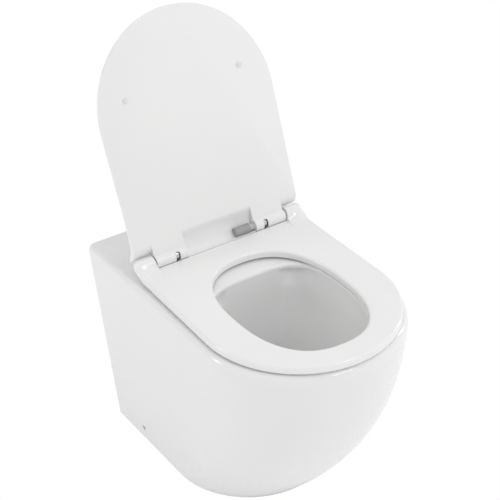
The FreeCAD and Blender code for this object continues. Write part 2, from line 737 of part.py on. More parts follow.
def make_lid_bushes(sign):
    bore = PIN_RADIUS + FIT
    half_slot = BARREL_SLOT / 2
    inner = sleeve(BARREL_BORE, bore, COLLAR_END, POST_CENTRE - half_slot)
    outer = sleeve(BARREL_BORE, bore, POST_CENTRE + half_slot, BARREL_OUTER)
    return on_side(Part.makeCompound([inner, outer]), sign)


# Dampers

def make_lid_damper_housing():
    shell = along_x(DAMPER_RADIUS, LID_DAMPER_START, LID_DAMPER_END)
    rims = [e for e in shell.Edges if e.BoundBox.XLength < 0.01 and e.BoundBox.XMin < LID_DAMPER_START + 0.01]
    shell = shell.makeFillet(DAMPER_RIM_RADIUS, rims)
    shell = shell.fuse(damper_key(DAMPER_KEY_WIDTH, DAMPER_KEY_HEIGHT)).removeSplitter()
    return shell.cut(along_x(DAMPER_CAVITY, LID_DAMPER_START + DAMPER_END, LID_DAMPER_END + OVER))


def make_lid_damper_collar():
    flange = along_x(DAMPER_CAVITY, LID_DAMPER_END - COLLAR_FLANGE, LID_DAMPER_END)
    neck = along_x(COLLAR_RADIUS, LID_DAMPER_END, COLLAR_END)
    bore = along_x(PIN_RADIUS + FIT, LID_DAMPER_END - COLLAR_FLANGE - OVER, COLLAR_END + OVER)
    return flange.fuse(neck).cut(bore)


LID_ROTOR_START = LID_DAMPER_START + DAMPER_END + BUSH_GAP
LID_ROTOR_END = LID_DAMPER_END - COLLAR_FLANGE - BUSH_GAP
SEAT_ROTOR_START = SEAT_CAP_END + BUSH_GAP
SEAT_ROTOR_END = EAR_BORE_END - DAMPER_END - BUSH_GAP


def make_rotor(start, end):
    """A drum fixed on the hinge pin, with two flats that work the damper's oil."""
    radius = DAMPER_CAVITY - ROTOR_GAP
    drum = sleeve(radius, PIN_RADIUS + PRESS, start, end)
    flat = radius * ROTOR_FLAT_SHARE
    reach = radius + OVER
    for low, high in ((flat, reach), (-reach, -flat)):
        cut = box(start - OVER, end + OVER, AXIS_Y - radius, AXIS_Y + radius, AXIS_Z + low, AXIS_Z + high)
        drum = drum.cut(cut)
    return drum


def make_seat_damper_housing():
    shell = along_x(DAMPER_RADIUS, SEAT_CAP_END, EAR_BORE_END)
    return mirrored(shell.cut(along_x(DAMPER_CAVITY, SEAT_CAP_END - OVER, EAR_BORE_END - DAMPER_END)))


def make_seat_damper_cap():
    return mirrored(sleeve(DAMPER_RADIUS, PIN_RADIUS + FIT, SEAT_CAP_START, SEAT_CAP_END))


def make_seat_bush():
    return sleeve(DAMPER_RADIUS, PIN_RADIUS + FIT, SEAT_CAP_START, EAR_BORE_END)


# Hinge hardware on the deck

def oblong(half_width, x0, x1, z0, z1):
    """An upright slab with round ends, on the line of the hinge axis."""
    slab = box(x0 + half_width, x1 - half_width, AXIS_Y - half_width, AXIS_Y + half_width, z0, z1)
    ends = [upright(half_width, z1 - z0, x, AXIS_Y, z0) for x in (x0 + half_width, x1 - half_width)]
    return slab.fuse(ends).removeSplitter()


def plate_slab(z0, z1):
    return oblong(PLATE_WIDTH / 2, BOLT_X - PLATE_MARGIN, POST_CENTRE + PLATE_MARGIN, z0, z1)


def make_hinge_plate(sign):
    plate = plate_slab(PLATE_BOTTOM, PLATE_TOP)
    return on_side(plate.cut(upright(BOLT_RADIUS + FIT, PLATE_THICKNESS, BOLT_X, AXIS_Y, PLATE_BOTTOM)), sign)


def make_gasket(sign):
    pad = plate_slab(RIM_HEIGHT, PLATE_BOTTOM)
    return on_side(pad.cut(upright(BOLT_RADIUS + FIT, GASKET_THICKNESS, BOLT_X, AXIS_Y, RIM_HEIGHT)), sign)


def make_post(sign):
    x0 = POST_CENTRE - POST_WIDTH / 2
    x1 = POST_CENTRE + POST_WIDTH / 2
    half = POST_DEPTH / 2
    stem = box(x0, x1, AXIS_Y - half, AXIS_Y + half, PLATE_TOP, AXIS_Z)
    foot = upright(POST_FOOT_RADIUS, POST_FOOT_HEIGHT, POST_CENTRE, AXIS_Y, PLATE_TOP)
    foot = foot.cut(upright(BOLT_HEAD_RADIUS + FIT, POST_FOOT_HEIGHT, BOLT_X, AXIS_Y, PLATE_TOP))
    post = stem.fuse([foot, along_x(POST_EYE_RADIUS, x0, x1)]).removeSplitter()
    return on_side(post.cut(along_x(PIN_RADIUS + PRESS, x0 - OVER, x1 + OVER)), sign)


def make_bolt(sign):
    bolt = upright(BOLT_RADIUS, BOLT_LENGTH, BOLT_X, AXIS_Y, PLATE_TOP - BOLT_LENGTH)
    head = upright(BOLT_HEAD_RADIUS, BOLT_HEAD_HEIGHT, BOLT_X, AXIS_Y, PLATE_TOP)
    corners = []
    for i in range(7):
        angle = math.pi / 3 * i
        corners.append(at(BOLT_X + BOLT_SOCKET_RADIUS * math.cos(angle),
                          AXIS_Y + BOLT_SOCKET_RADIUS * math.sin(angle), PLATE_TOP + BOLT_SOCKET_FLOOR))
    drive = Part.makePolygon(corners)
    socket = Part.Face(drive).extrude(at(0, 0, BOLT_HEAD_HEIGHT))
    return on_side(bolt.fuse(head).cut(socket).removeSplitter(), sign)


def make_washer(sign):
    washer = Part.makeCone(WASHER_RADIUS, WASHER_RADIUS - WASHER_TAPER, WASHER_THICKNESS,
                           at(BOLT_X, AXIS_Y, DECK_UNDER - WASHER_THICKNESS))
    hole = upright(BOLT_RADIUS + FIT, WASHER_THICKNESS, BOLT_X, AXIS_Y, DECK_UNDER - WASHER_THICKNESS)
    return on_side(washer.cut(hole), sign)


def make_nut(sign):
    top = DECK_UNDER - WASHER_THICKNESS
    low = top - NUT_HEIGHT
    nut = upright(NUT_RADIUS, NUT_HEIGHT, BOLT_X, AXIS_Y, low)
    half = NUT_WING_THICKNESS / 2
    wings = box(BOLT_X - NUT_WING, BOLT_X + NUT_WING, AXIS_Y - half, AXIS_Y + half, low, top - NUT_WING_DROP)
    return on_side(nut.fuse(wings).cut(upright(BOLT_RADIUS + PRESS, NUT_HEIGHT, BOLT_X, AXIS_Y, low)), sign)


def make_pin(x0, x1):
    pin = along_x(PIN_RADIUS, x0, x1)
    return pin.makeChamfer(PIN_CHAMFER, [e for e in pin.Edges if e.BoundBox.XLength < 0.01])


# Floor fixing and flush inlet

SIDE_SCREW_Y = WALL_Y - SIDE_SCREW_TO_WALL
SIDE_X = pan_side(SIDE_SCREW_HEIGHT)
HEAD_X = SIDE_X - SIDE_HEAD_SINK
BRACKET_X = pan_side(0.0) - CHINA_WALL - BRACKET_STANDOFF


def level_bar(radius, x0, x1):
    return along_x(radius, x0, x1, SIDE_SCREW_Y, SIDE_SCREW_HEIGHT)


def make_bracket(sign):
    y0 = SIDE_SCREW_Y - BRACKET_WIDTH / 2
    y1 = SIDE_SCREW_Y + BRACKET_WIDTH / 2
    post = box(BRACKET_X - BRACKET_THICKNESS, BRACKET_X, y0, y1, 0, BRACKET_HEIGHT)
    foot = box(BRACKET_X - BRACKET_FOOT, BRACKET_X, y0, y1, 0, BRACKET_THICKNESS)
    bracket = post.fuse(foot).removeSplitter()
    inside = [e for e in bracket.Edges if e.BoundBox.YLength > BRACKET_WIDTH - 0.1
              and abs(e.CenterOfMass.x - BRACKET_X + BRACKET_THICKNESS) < 0.1
              and abs(e.CenterOfMass.z - BRACKET_THICKNESS) < 0.1]
    bracket = bracket.makeFillet(BRACKET_THICKNESS / 2, inside)
    screw_hole = level_bar(SIDE_SCREW_RADIUS + PRESS, BRACKET_X - BRACKET_THICKNESS - OVER, BRACKET_X + OVER)
    hole_x = BRACKET_X - (BRACKET_FOOT + BRACKET_THICKNESS) / 2
    floor_hole = upright(BRACKET_FLOOR_HOLE, BRACKET_THICKNESS, hole_x, SIDE_SCREW_Y, 0)
    return on_side(bracket.cut([screw_hole, floor_hole]), sign)


def make_side_sleeve(sign):
    end = HEAD_X - SIDE_HEAD_HEIGHT
    tube = level_bar(SLEEVE_RADIUS, BRACKET_X, end).cut(level_bar(SIDE_SCREW_RADIUS + FIT, BRACKET_X, end))
    return on_side(tube, sign)


def make_side_screw(sign):
    tail = BRACKET_X - BRACKET_THICKNESS - SIDE_SCREW_TAIL
    shank = level_bar(SIDE_SCREW_RADIUS, tail, HEAD_X - SIDE_HEAD_HEIGHT)
    head = level_bar(SIDE_HEAD_RADIUS, HEAD_X - SIDE_HEAD_HEIGHT, HEAD_X)
    long = CROSS_LENGTH / 2
    thin = CROSS_WIDTH / 2
    cross = box(HEAD_X - CROSS_DEPTH, HEAD_X + OVER, SIDE_SCREW_Y - long, SIDE_SCREW_Y + long,
                SIDE_SCREW_HEIGHT - thin, SIDE_SCREW_HEIGHT + thin)
    turned = cross.copy()
    turned.rotate(at(HEAD_X, SIDE_SCREW_Y, SIDE_SCREW_HEIGHT), X_AXIS, 90)
    return on_side(shank.fuse(head).cut([cross, turned]).removeSplitter(), sign)


def make_flush_cone():
    front = INLET_END - CONE_LENGTH
    tube = inlet_bar(INLET_RADIUS - CONE_FIN_HEIGHT, front, INLET_END)
    pitch = CONE_LENGTH / CONE_FINS
    for i in range(CONE_FINS):
        start = front + pitch * i + pitch / 4
        tube = tube.fuse(inlet_bar(INLET_RADIUS - FIT, start, start + pitch / 2))
    lip_end = INLET_END + CONE_LIP_THICKNESS
    lip = inlet_bar(INLET_RADIUS + INLET_WALL - CONE_LIP_INSET, INLET_END, lip_end)
    bore = inlet_bar(INLET_RADIUS - CONE_WALL, front - OVER, lip_end + OVER)
    return tube.fuse(lip).removeSplitter().cut(bore)


def pair(maker):
    return Part.makeCompound([maker(sign) for sign in SIDES.values()])


os.makedirs("parts", exist_ok=True)
save("pan_rim", make_pan_rim())
save("pan_skirt", make_pan_skirt())
save("pan_bowl", make_pan_bowl())
save("pan_trap", make_pan_trap())
save("pan_flush", make_pan_flush())
save("seat_ring", make_seat_ring())
save("seat_bumpers", Part.makeCompound([make_seat_pad(x, y) for x, y in seat_pad_places()]))
save("seat_damper_housing", make_seat_damper_housing())
save("seat_damper_cap", make_seat_damper_cap())
save("seat_damper_rotor", mirrored(make_rotor(SEAT_ROTOR_START, SEAT_ROTOR_END)))
save("seat_bush_right", make_seat_bush())
save("lid_panel", opened(make_lid()))
save("lid_bumpers", opened(pair(make_lid_pad)))
save("lid_damper_housing", opened(make_lid_damper_housing()))
save("lid_damper_collar", opened(make_lid_damper_collar()))
save("lid_damper_rotor", make_rotor(LID_ROTOR_START, LID_ROTOR_END))
save("hinge_pin_right", make_pin(LID_ROTOR_START, EAR_BORE_END - BUSH_GAP))
save("hinge_pin_left", mirrored(make_pin(COLLAR_END - BUSH_GAP, SEAT_ROTOR_END)))
for side, sign in SIDES.items():
    save("lid_bushes_" + side, opened(make_lid_bushes(sign)))
    save("hinge_plate_" + side, make_hinge_plate(sign))
    save("hinge_post_" + side, make_post(sign))
    save("floor_bracket_" + side, make_bracket(sign))
save("hinge_gaskets", pair(make_gasket))
save("hinge_bolts", pair(make_bolt))
save("hinge_washers", pair(make_washer))
save("hinge_nuts", pair(make_nut))
save("side_sleeves", pair(make_side_sleeve))
save("side_screws", pair(make_side_screw))
save("flush_cone", make_flush_cone())
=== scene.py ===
import math

import bmesh
import bpy
from mathutils import Matrix, Vector


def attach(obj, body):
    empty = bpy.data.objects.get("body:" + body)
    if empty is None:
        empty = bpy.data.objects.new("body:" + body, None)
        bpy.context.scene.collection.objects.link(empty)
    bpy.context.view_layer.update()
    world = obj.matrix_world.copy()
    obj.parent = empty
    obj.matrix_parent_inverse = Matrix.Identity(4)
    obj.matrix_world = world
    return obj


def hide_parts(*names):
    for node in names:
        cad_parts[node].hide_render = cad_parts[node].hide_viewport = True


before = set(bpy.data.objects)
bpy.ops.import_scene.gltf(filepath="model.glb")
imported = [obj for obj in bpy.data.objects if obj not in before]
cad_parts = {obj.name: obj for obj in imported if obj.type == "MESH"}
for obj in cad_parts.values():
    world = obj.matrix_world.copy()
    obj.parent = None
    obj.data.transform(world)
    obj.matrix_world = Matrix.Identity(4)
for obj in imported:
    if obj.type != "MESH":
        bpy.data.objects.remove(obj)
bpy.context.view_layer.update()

# The china pan: a shroud that narrows to the floor, a deck and rim with rounded edges, and the
# bowl with its rear ledge and flush recesses. Vitreous china, slip cast in sections that are stuck
# together, glazed white and fired, so here it is one unbroken skin.
WALL_Y = 0.2985
HINGE_Y = 0.1395
RIM_Z = 0.402
DECK_UNDER = 0.388
PAN_HALF = 0.1905
PAN_DEPTH = 0.597
SIDE_TAPER = 0.0345
FRONT_TAPER = 0.205
NOSE_SHARE = 0.973
NOSE_TAPER = 0.022
CORNER_ROUND = 0.007
BACK_ROUND = 0.0025
SIDE_ROUND = 0.011
FRONT_ROUND = 0.016
CORNER_STEPS = 6
BACK_STEPS = 41
NOSE_STEPS = 72
NOSE_TURNS = [math.pi * i / NOSE_STEPS for i in range(NOSE_STEPS + 1)]
# Where the points along a straight side lie; three are moved to frame the floor screw's hole.
SIDE_STEPS = [i / 40 for i in range(40)]
SIDE_STEPS[14:17] = (0.345, 0.3664, 0.407)


def quarter(steps):
    """The angles of a quarter turn in equal steps."""
    return [math.pi / 2 * i / steps for i in range(steps + 1)]


def pan_shape(z):
    """Half width, front and length of the rounded front of the pan's D at one height."""
    fall = max(0.0, 1.0 - z / RIM_Z)
    half = PAN_HALF - SIDE_TAPER * fall
    front = WALL_Y - PAN_DEPTH + FRONT_TAPER * fall ** 2
    return half, front, half * (NOSE_SHARE + NOSE_TAPER * fall)


def d_points(half, front, length, back):
    """The D from its rear left corner along the left, round the front and back on the right."""
    middle = front + length
    start = back - CORNER_ROUND
    rear = [(-half + CORNER_ROUND - CORNER_ROUND * math.sin(turn),
             start + CORNER_ROUND * math.cos(turn)) for turn in quarter(CORNER_STEPS)[:-1]]
    rear += [(-half, start + (middle - back + CORNER_ROUND) * step) for step in SIDE_STEPS]
    nose = [(-half * math.cos(turn), middle - length * math.sin(turn)) for turn in NOSE_TURNS]
    return rear + nose + [(-x, y) for x, y in reversed(rear)]


def back_points(half, back):
    """Points along the straight back, from right to left, between the two rear corners."""
    reach = half - CORNER_ROUND
    return [(reach * (1 - 2 * (i + 1) / (BACK_STEPS + 1)), back) for i in range(BACK_STEPS)]


def inner_points(half, front, length):
    """The inside of the shroud, from its right rear edge round the front to its left rear edge."""
    side = 10
    bend = BACK_STEPS - 2 * side - 1
    middle = front + length
    right = [(half, WALL_Y + (middle - WALL_Y) * i / side) for i in range(side)]
    turns = [math.pi * i / bend for i in range(bend + 1)]
    nose = [(half * math.cos(turn), middle - length * math.sin(turn)) for turn in turns]
    return right + nose + [(-x, y) for x, y in reversed(right)]


def ring_edges(bm, ring):
    """The edges of a closed ring of vertices."""
    return [bm.edges.get((a, b)) for a, b in zip(ring, ring[1:] + ring[:1])]


def first_ring(bm, points):
    """A closed ring of edges through the points."""
    made = bmesh.ops.create_circle(bm, cap_ends=False, radius=1.0, segments=len(points))["verts"]
    ring = [made[0]]
    while len(ring) < len(made):
        ring.append(next(e.other_vert(ring[-1]) for e in ring[-1].link_edges
                         if e.other_vert(ring[-1]) not in ring[-2:]))
    for vert, point in zip(ring, points):
        vert.co = point
    return ring


def next_ring(bm, ring, points):
    """Extrudes a closed ring of edges and lays the new ring on the points."""
    grown = bmesh.ops.extrude_edge_only(bm, edges=ring_edges(bm, ring))["geom"]
    fresh = {v for v in grown if isinstance(v, bmesh.types.BMVert)}
    laid = [next(e.other_vert(v) for e in v.link_edges if e.other_vert(v) in fresh) for v in ring]
    for vert, point in zip(laid, points):
        vert.co = point
    return laid


def grow(bm, ring, rows):
    """Extrudes a ring from row to row of points and returns the last ring."""
    for points in rows:
        ring = next_ring(bm, ring, points)
    return ring


def close_ring(bm, ring):
    """Fills a ring with one face and returns the ring."""
    bmesh.ops.contextual_create(bm, geom=ring_edges(bm, ring))
    return ring


TINY = 0.000001


def finished(bm, name, body, nodes, sharp=35.0):
    """Turns a bmesh into a smooth piece that rides on a body and stands for CAD nodes."""
    bmesh.ops.dissolve_degenerate(bm, dist=TINY, edges=bm.edges)
    bmesh.ops.recalc_face_normals(bm, faces=bm.faces)
    mesh = bpy.data.meshes.new(name)
    bm.to_mesh(mesh)
    bm.free()
    mesh.shade_smooth()
    mesh.set_sharp_from_angle(angle=math.radians(sharp))
    piece = bpy.data.objects.new(name, mesh)
    bpy.context.scene.collection.objects.link(piece)
    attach(piece, body)
    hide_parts(*nodes)
    return piece


def oval_point(angle, half, rear, front, widest, rear_power, front_power):
    """A point of the bowl's oval, whose rear half can be squarer than its front half."""
    c = math.cos(angle)
    s = math.sin(angle)
    reach, power = (rear - widest, rear_power) if s > 0 else (widest - front, front_power)
    radius = ((abs(c) / half) ** power + (abs(s) / reach) ** power) ** (-1 / power)
    return radius * c, widest + radius * s


LEDGE_Y = HINGE_Y - 0.105
BOWL_HALF = 0.1115
BOWL_LENGTH = 0.289
BOWL_DEPTH = 0.292
# Depth under the rim, draw-in of the sides and of the front as shares, how far the rear comes
# forward, where the widest line lies, and how square the rear and the front are.
BOWL_ROWS = [
    (0.000, 0.000, 0.000, 0.000, 0.450, 3.8, 2.2),
    (0.030, 0.010, 0.007, -0.001, 0.450, 3.7, 2.2),
    (0.080, 0.090, 0.076, -0.004, 0.417, 3.3, 2.2),
    (0.140, 0.277, 0.248, -0.005, 0.355, 2.6, 2.2),
    (0.200, 0.473, 0.448, -0.004, 0.266, 2.2, 2.2),
    (0.255, 0.598, 0.628, 0.000, 0.190, 2.0, 2.1),
    (BOWL_DEPTH, 0.659, 0.694, 0.0125, 0.175, 2.0, 2.0),
]


def bowl_row(depth):
    """One row of the bowl's table at any depth, on a smooth curve through the rows."""
    last = len(BOWL_ROWS) - 1
    i = max(k for k in range(last) if BOWL_ROWS[k][0] <= depth or k == 0)
    span = BOWL_ROWS[i + 1][0] - BOWL_ROWS[i][0]
    t = (depth - BOWL_ROWS[i][0]) / span

    def slope(k, column):
        low = BOWL_ROWS[max(k - 1, 0)]
        high = BOWL_ROWS[min(k + 1, last)]
        return (high[column] - low[column]) / (high[0] - low[0]) * span

    values = []
    for column in range(1, len(BOWL_ROWS[0])):
        a = BOWL_ROWS[i][column]
        b = BOWL_ROWS[i + 1][column]
        values.append((2 * t ** 3 - 3 * t ** 2 + 1) * a
                      + (t ** 3 - 2 * t ** 2 + t) * slope(i, column)
                      + (3 * t ** 2 - 2 * t ** 3) * b
                      + (t ** 3 - t ** 2) * slope(i + 1, column))
    return values


def ease(value):
    """A smooth step from 0 to 1."""
    t = min(1.0, max(0.0, value))
    return t * t * (3 - 2 * t)


RECESS_INNER = 0.052
RECESS_OUTER = 0.110
RECESS_TOP = 0.0085
RECESS_FOOT = 0.050
RECESS_DEPTH = 0.0095


def recess_push(x, depth):
    """How far the two flush recesses at the ends of the ledge lie behind the bowl's wall."""
    across = ease((abs(x) - RECESS_INNER) / 0.026) * ease((RECESS_OUTER - abs(x)) / 0.010)
    down = ease((depth - RECESS_TOP) / 0.0035) * ease((RECESS_FOOT - depth) / 0.034)
    return RECESS_DEPTH * across * down


def bowl_ring(angles, depth, wall, recesses=False):
    """The bowl's ring at one depth, made larger by a wall."""
    side, nose, rear, widest, rear_power, front_power = bowl_row(depth)
    points = []
    for angle in angles:
        x, y = oval_point(angle, BOWL_HALF * (1 - side) + wall, LEDGE_Y - rear + wall,
                          LEDGE_Y - BOWL_LENGTH * (1 - nose) - wall, LEDGE_Y - BOWL_LENGTH * widest,
                          rear_power, front_power)
        if recesses and math.sin(angle) > 0:
            y += recess_push(x, depth)
        points.append((x, y, RIM_Z - depth))
    return points


ROUND_GROWS_FROM = -0.08
ROUND_GROWS_OVER = 0.16


def edge_row(turn, below, back):
    """A row of the rim's outer edge, whose rounding grows towards the front, and its half width."""
    lost = 1 - math.sin(turn)
    drawn = 1 - math.cos(turn)
    half = pan_shape(RIM_Z - SIDE_ROUND * lost - below)[0] - SIDE_ROUND * drawn
    front, length = pan_shape(RIM_Z - FRONT_ROUND * lost - below)[1:]
    row = []
    for x, y in d_points(half, front + FRONT_ROUND * drawn, length - FRONT_ROUND * drawn, back):
        share = ease((ROUND_GROWS_FROM - y) / ROUND_GROWS_OVER)
        size = SIDE_ROUND + (FRONT_ROUND - SIDE_ROUND) * share
        row.append((x, y, RIM_Z - size * lost - below))
    return row, half


# The shroud, from its rounded foot up to the deck, outside and inside in one ring. Each row is a
# height and how far the foot's edge is drawn in there.
SIDE_WALL = 0.011
FRONT_WALL = 0.0143
WALL_TOP = 0.386
foot_rows = [(0.0, 0.0020), (0.0006, 0.0006), (0.0020, 0.0)]
heights = [0.0228, 0.0332, 0.0455] + [0.06 + 0.0161 * i for i in range(20)] + [0.377]
rows = []
for z, inset in foot_rows + [(z, 0.0) for z in heights]:
    half, front, length = pan_shape(z)
    outside = d_points(half - inset, front + inset, length - inset, WALL_Y)
    inside = inner_points(half - SIDE_WALL + inset, front + FRONT_WALL - inset,
                          length - SIDE_WALL + inset)
    rows.append([(x, y, z) for x, y in outside + inside])
bm = bmesh.new()
ring = grow(bm, close_ring(bm, first_ring(bm, rows[0])), rows[1:])
half, front, length = pan_shape(WALL_TOP)
inside = inner_points(half - SIDE_WALL, front + FRONT_WALL, length - SIDE_WALL)
outside = edge_row(turn=0.0, below=0.005, back=WALL_Y)[0]
ring = next_ring(bm, ring, outside + [(x, y, DECK_UNDER) for x, y in inside])
wall_top = ring[-BACK_STEPS:]
# The deck's edge; the faces that would close the hollow under the deck are taken out again.
outside, half = edge_row(turn=0.0, below=0.0025, back=WALL_Y)
rear = back_points(half, WALL_Y)
ring = next_ring(bm, ring, outside + [(x, y, DECK_UNDER) for x, y in rear])
deck_edge = ring[-BACK_STEPS:]
ceiling = [face for i in range(BACK_STEPS - 1)
           for face in bm.edges.get((wall_top[i], wall_top[i + 1])).link_faces
           if deck_edge[i] in face.verts]
bmesh.ops.delete(bm, geom=ceiling, context="FACES_ONLY")
for turn in quarter(10):
    back = WALL_Y - BACK_ROUND * (1 - math.cos(turn))
    outside, half = edge_row(turn, 0.0, back)
    rim = outside + [(x, y, outside[0][2]) for x, y in back_points(half, back)]
    ring = next_ring(bm, ring, rim)
# The deck's face, the rounded mouth, and the bowl with its recesses down to the sump.
MOUTH_ROUND = 0.005
RECESS_ROWS = (0.007, 0.0085, 0.0092, 0.0099, 0.0106, 0.0113, 0.012, 0.014, 0.018, 0.023, 0.028,
               0.033, 0.038, 0.043, 0.048, 0.053, 0.058, 0.0625)
FUNNEL_TOP = 0.070
FUNNEL_FALL = 0.222
mouth_centre = LEDGE_Y - BOWL_ROWS[0][4] * BOWL_LENGTH
angles = [math.atan2(y - mouth_centre, x) for x, y, _ in rim]
mouth = bowl_ring(angles, 0.0, MOUTH_ROUND)
ring = grow(bm, ring, [
    [(x + (to_x - x) * share, y + (to_y - y) * share, RIM_Z)
     for (x, y, _), (to_x, to_y, _) in zip(rim, mouth)] for share in (0.35, 0.7, 0.92)])
ring = grow(bm, ring, [
    bowl_ring(angles, MOUTH_ROUND * (1 - math.cos(turn)), MOUTH_ROUND * (1 - math.sin(turn)))
    for turn in quarter(6)])
ring = grow(bm, ring, [bowl_ring(angles, depth, 0.0, True) for depth in RECESS_ROWS])
ring = grow(bm, ring, [bowl_ring(angles, FUNNEL_TOP + FUNNEL_FALL * i / 24, 0.0)
                       for i in range(25)])
# The sump bends back into the trap and ends in a narrow flange.
SUMP_Y = -0.016
SUMP_RADIUS = 0.038
SUMP_BEND = 0.0385
OUTLET_Z = 0.0735
for turn in quarter(12)[1:]:
    y = SUMP_Y + SUMP_BEND - SUMP_BEND * math.cos(turn)
    z = RIM_Z - BOWL_DEPTH - SUMP_BEND * math.sin(turn)
    ring = next_ring(bm, ring, [(SUMP_RADIUS * math.cos(a),
                                 y + SUMP_RADIUS * math.sin(a) * math.cos(turn),
                                 z + SUMP_RADIUS * math.sin(a) * math.sin(turn)) for a in angles])
for y, radius in ((0.029, 0.0376), (0.0295, 0.041)):
    ring = next_ring(bm, ring, [(radius * math.cos(a), y, OUTLET_Z + radius * math.sin(a))
                                for a in angles])
# The deck's underside, and the outside of the bowl that hangs from it, seen through the open back.
BOWL_WALL = 0.010
SHELL_TOP = 0.03
SHELL_FALL = 0.262
SHELL_RADIUS = 0.048
SHELL_Y = -0.0105
SHELL_Z = 0.072
SHELL_TIP = 0.0002
ring = wall_top + deck_edge[::-1]
turns = [math.atan2(v.co.y - mouth_centre, v.co.x) for v in ring]
fillet = ((RIM_Z - DECK_UNDER, 0.004), (0.0148, 0.0022), (0.0165, 0.0008), (0.020, 0.0))
ring = grow(bm, ring, [bowl_ring(turns, depth, BOWL_WALL + extra) for depth, extra in fillet])
ring = grow(bm, ring, [bowl_ring(turns, SHELL_TOP + SHELL_FALL * i / 17, BOWL_WALL)
                       for i in range(18)])
for turn in quarter(8):
    radius = SHELL_RADIUS * math.cos(turn) + SHELL_TIP
    z = SHELL_Z - SHELL_RADIUS * math.sin(turn)
    ring = next_ring(bm, ring, [(radius * math.cos(a), SHELL_Y + radius * math.sin(a), z)
                                for a in turns])
close_ring(bm, ring)
# The blind hole for the floor screw, low on each side, with a softened edge.
HOLE_Y = 0.1925
HOLE_Z = 0.028
HOLE_MOUTH = 0.0058
HOLE_RADIUS = 0.0053
HOLE_LIP = 0.0008
HOLE_CUTS = 3
OUTER_SKIN = 0.152


def nearest(faces, spot):
    """The face whose middle is nearest to a place."""
    return min(faces, key=lambda face: (face.calc_center_median() - spot).length)


def round_off(face, spot, radius):
    """Moves a face's corners onto a circle round the hole's axis."""
    for vert in face.verts:
        way = Vector((0.0, vert.co.y - spot.y, vert.co.z - spot.z)).normalized() * radius
        vert.co = (vert.co.x, spot.y + way.y, spot.z + way.z)


for sign in (-1, 1):
    spot = Vector((sign * pan_shape(HOLE_Z)[0], HOLE_Y, HOLE_Z))
    face = nearest((f for f in bm.faces if f.normal.x * f.normal.x > 0.5
                    and abs(f.calc_center_median().x) > OUTER_SKIN), spot)
    bmesh.ops.subdivide_edges(bm, edges=list(face.edges), cuts=HOLE_CUTS)
    face = nearest((f for f in bm.faces if len(f.verts) == 4 * (HOLE_CUTS + 1)), spot)
    bmesh.ops.inset_region(bm, faces=[face], thickness=HOLE_LIP, use_even_offset=True)
    round_off(face, spot, HOLE_MOUTH)
    for depth in (0.0006, 0.0082):
        face = bmesh.ops.extrude_discrete_faces(bm, faces=[face])["faces"][0]
        round_off(face, spot, HOLE_RADIUS)
        for vert in face.verts:
            vert.co.x = sign * (abs(spot.x) - depth)
pan = finished(bm, "pan_china", "pan_body", ("pan_rim", "pan_skirt", "pan_bowl"))


def unevenness():
    """A node group: two noises that give a mask for the colour and a height for the surface."""
    group = bpy.data.node_groups.new("surface_unevenness", "ShaderNodeTree")
    for name, default in (("Wave scale", 6.0), ("Grain scale", 240.0), ("Grain share", 0.2)):
        socket = group.interface.new_socket(name=name, in_out="INPUT",
                                            socket_type="NodeSocketFloat")
        socket.default_value = default
    for name in ("Mask", "Height"):
        group.interface.new_socket(name=name, in_out="OUTPUT", socket_type="NodeSocketFloat")
    nodes = group.nodes
    links = group.links
    enter = nodes.new("NodeGroupInput")
    leave = nodes.new("NodeGroupOutput")
    place = nodes.new("ShaderNodeTexCoord")
    wave = nodes.new("ShaderNodeTexNoise")
    wave.inputs["Detail"].default_value = 2.0
    grain = nodes.new("ShaderNodeTexNoise")
    grain.inputs["Detail"].default_value = 3.0
    both = nodes.new("ShaderNodeMix")
    both.data_type = "FLOAT"
    links.new(place.outputs["Object"], wave.inputs["Vector"])
    links.new(place.outputs["Object"], grain.inputs["Vector"])
    links.new(enter.outputs["Wave scale"], wave.inputs["Scale"])
    links.new(enter.outputs["Grain scale"], grain.inputs["Scale"])
    links.new(enter.outputs["Grain share"], both.inputs[0])
    links.new(wave.outputs["Fac"], both.inputs[2])
    links.new(grain.outputs["Fac"], both.inputs[3])
    links.new(wave.outputs["Fac"], leave.inputs["Mask"])
    links.new(both.outputs[0], leave.inputs["Height"])
    return group


uneven = unevenness()


def finish(name, low, high, rough, waves, grain, share, depth, metallic=0.0):
    """A material whose colour, roughness and surface vary with the shared unevenness."""
    material = bpy.data.materials.new(name)
    material.use_nodes = True
    nodes = material.node_tree.nodes
    links = material.node_tree.links
    shader = nodes["Principled BSDF"]
    shader.inputs["Metallic"].default_value = metallic
    source = nodes.new("ShaderNodeGroup")
    source.node_tree = uneven
    source.inputs["Wave scale"].default_value = waves
    source.inputs["Grain scale"].default_value = grain
    source.inputs["Grain share"].default_value = share
    tint = nodes.new("ShaderNodeMix")
    tint.data_type = "RGBA"
    tint.inputs[6].default_value = (*low, 1.0)
    tint.inputs[7].default_value = (*high, 1.0)
    links.new(source.outputs["Mask"], tint.inputs[0])
    links.new(tint.outputs[2], shader.inputs["Base Color"])
    gloss = nodes.new("ShaderNodeMapRange")
    gloss.inputs["From Min"].default_value = 0.3
    gloss.inputs["From Max"].default_value = 0.7
    gloss.inputs["To Min"].default_value = rough[0]
    gloss.inputs["To Max"].default_value = rough[1]
    links.new(source.outputs["Height"], gloss.inputs["Value"])
    links.new(gloss.outputs["Result"], shader.inputs["Roughness"])
    bump = nodes.new("ShaderNodeBump")
    bump.inputs["Strength"].default_value = 1.0
    bump.inputs["Distance"].default_value = depth
    links.new(source.outputs["Height"], bump.inputs["Height"])
    links.new(bump.outputs["Normal"], shader.inputs["Normal"])
    return material


glaze = finish("white_glaze", low=(0.80, 0.805, 0.80), high=(0.83, 0.83, 0.825), rough=(0.05, 0.10),
               waves=7.0, grain=60.0, share=0.012, depth=0.00020)
pan.data.materials.append(glaze)

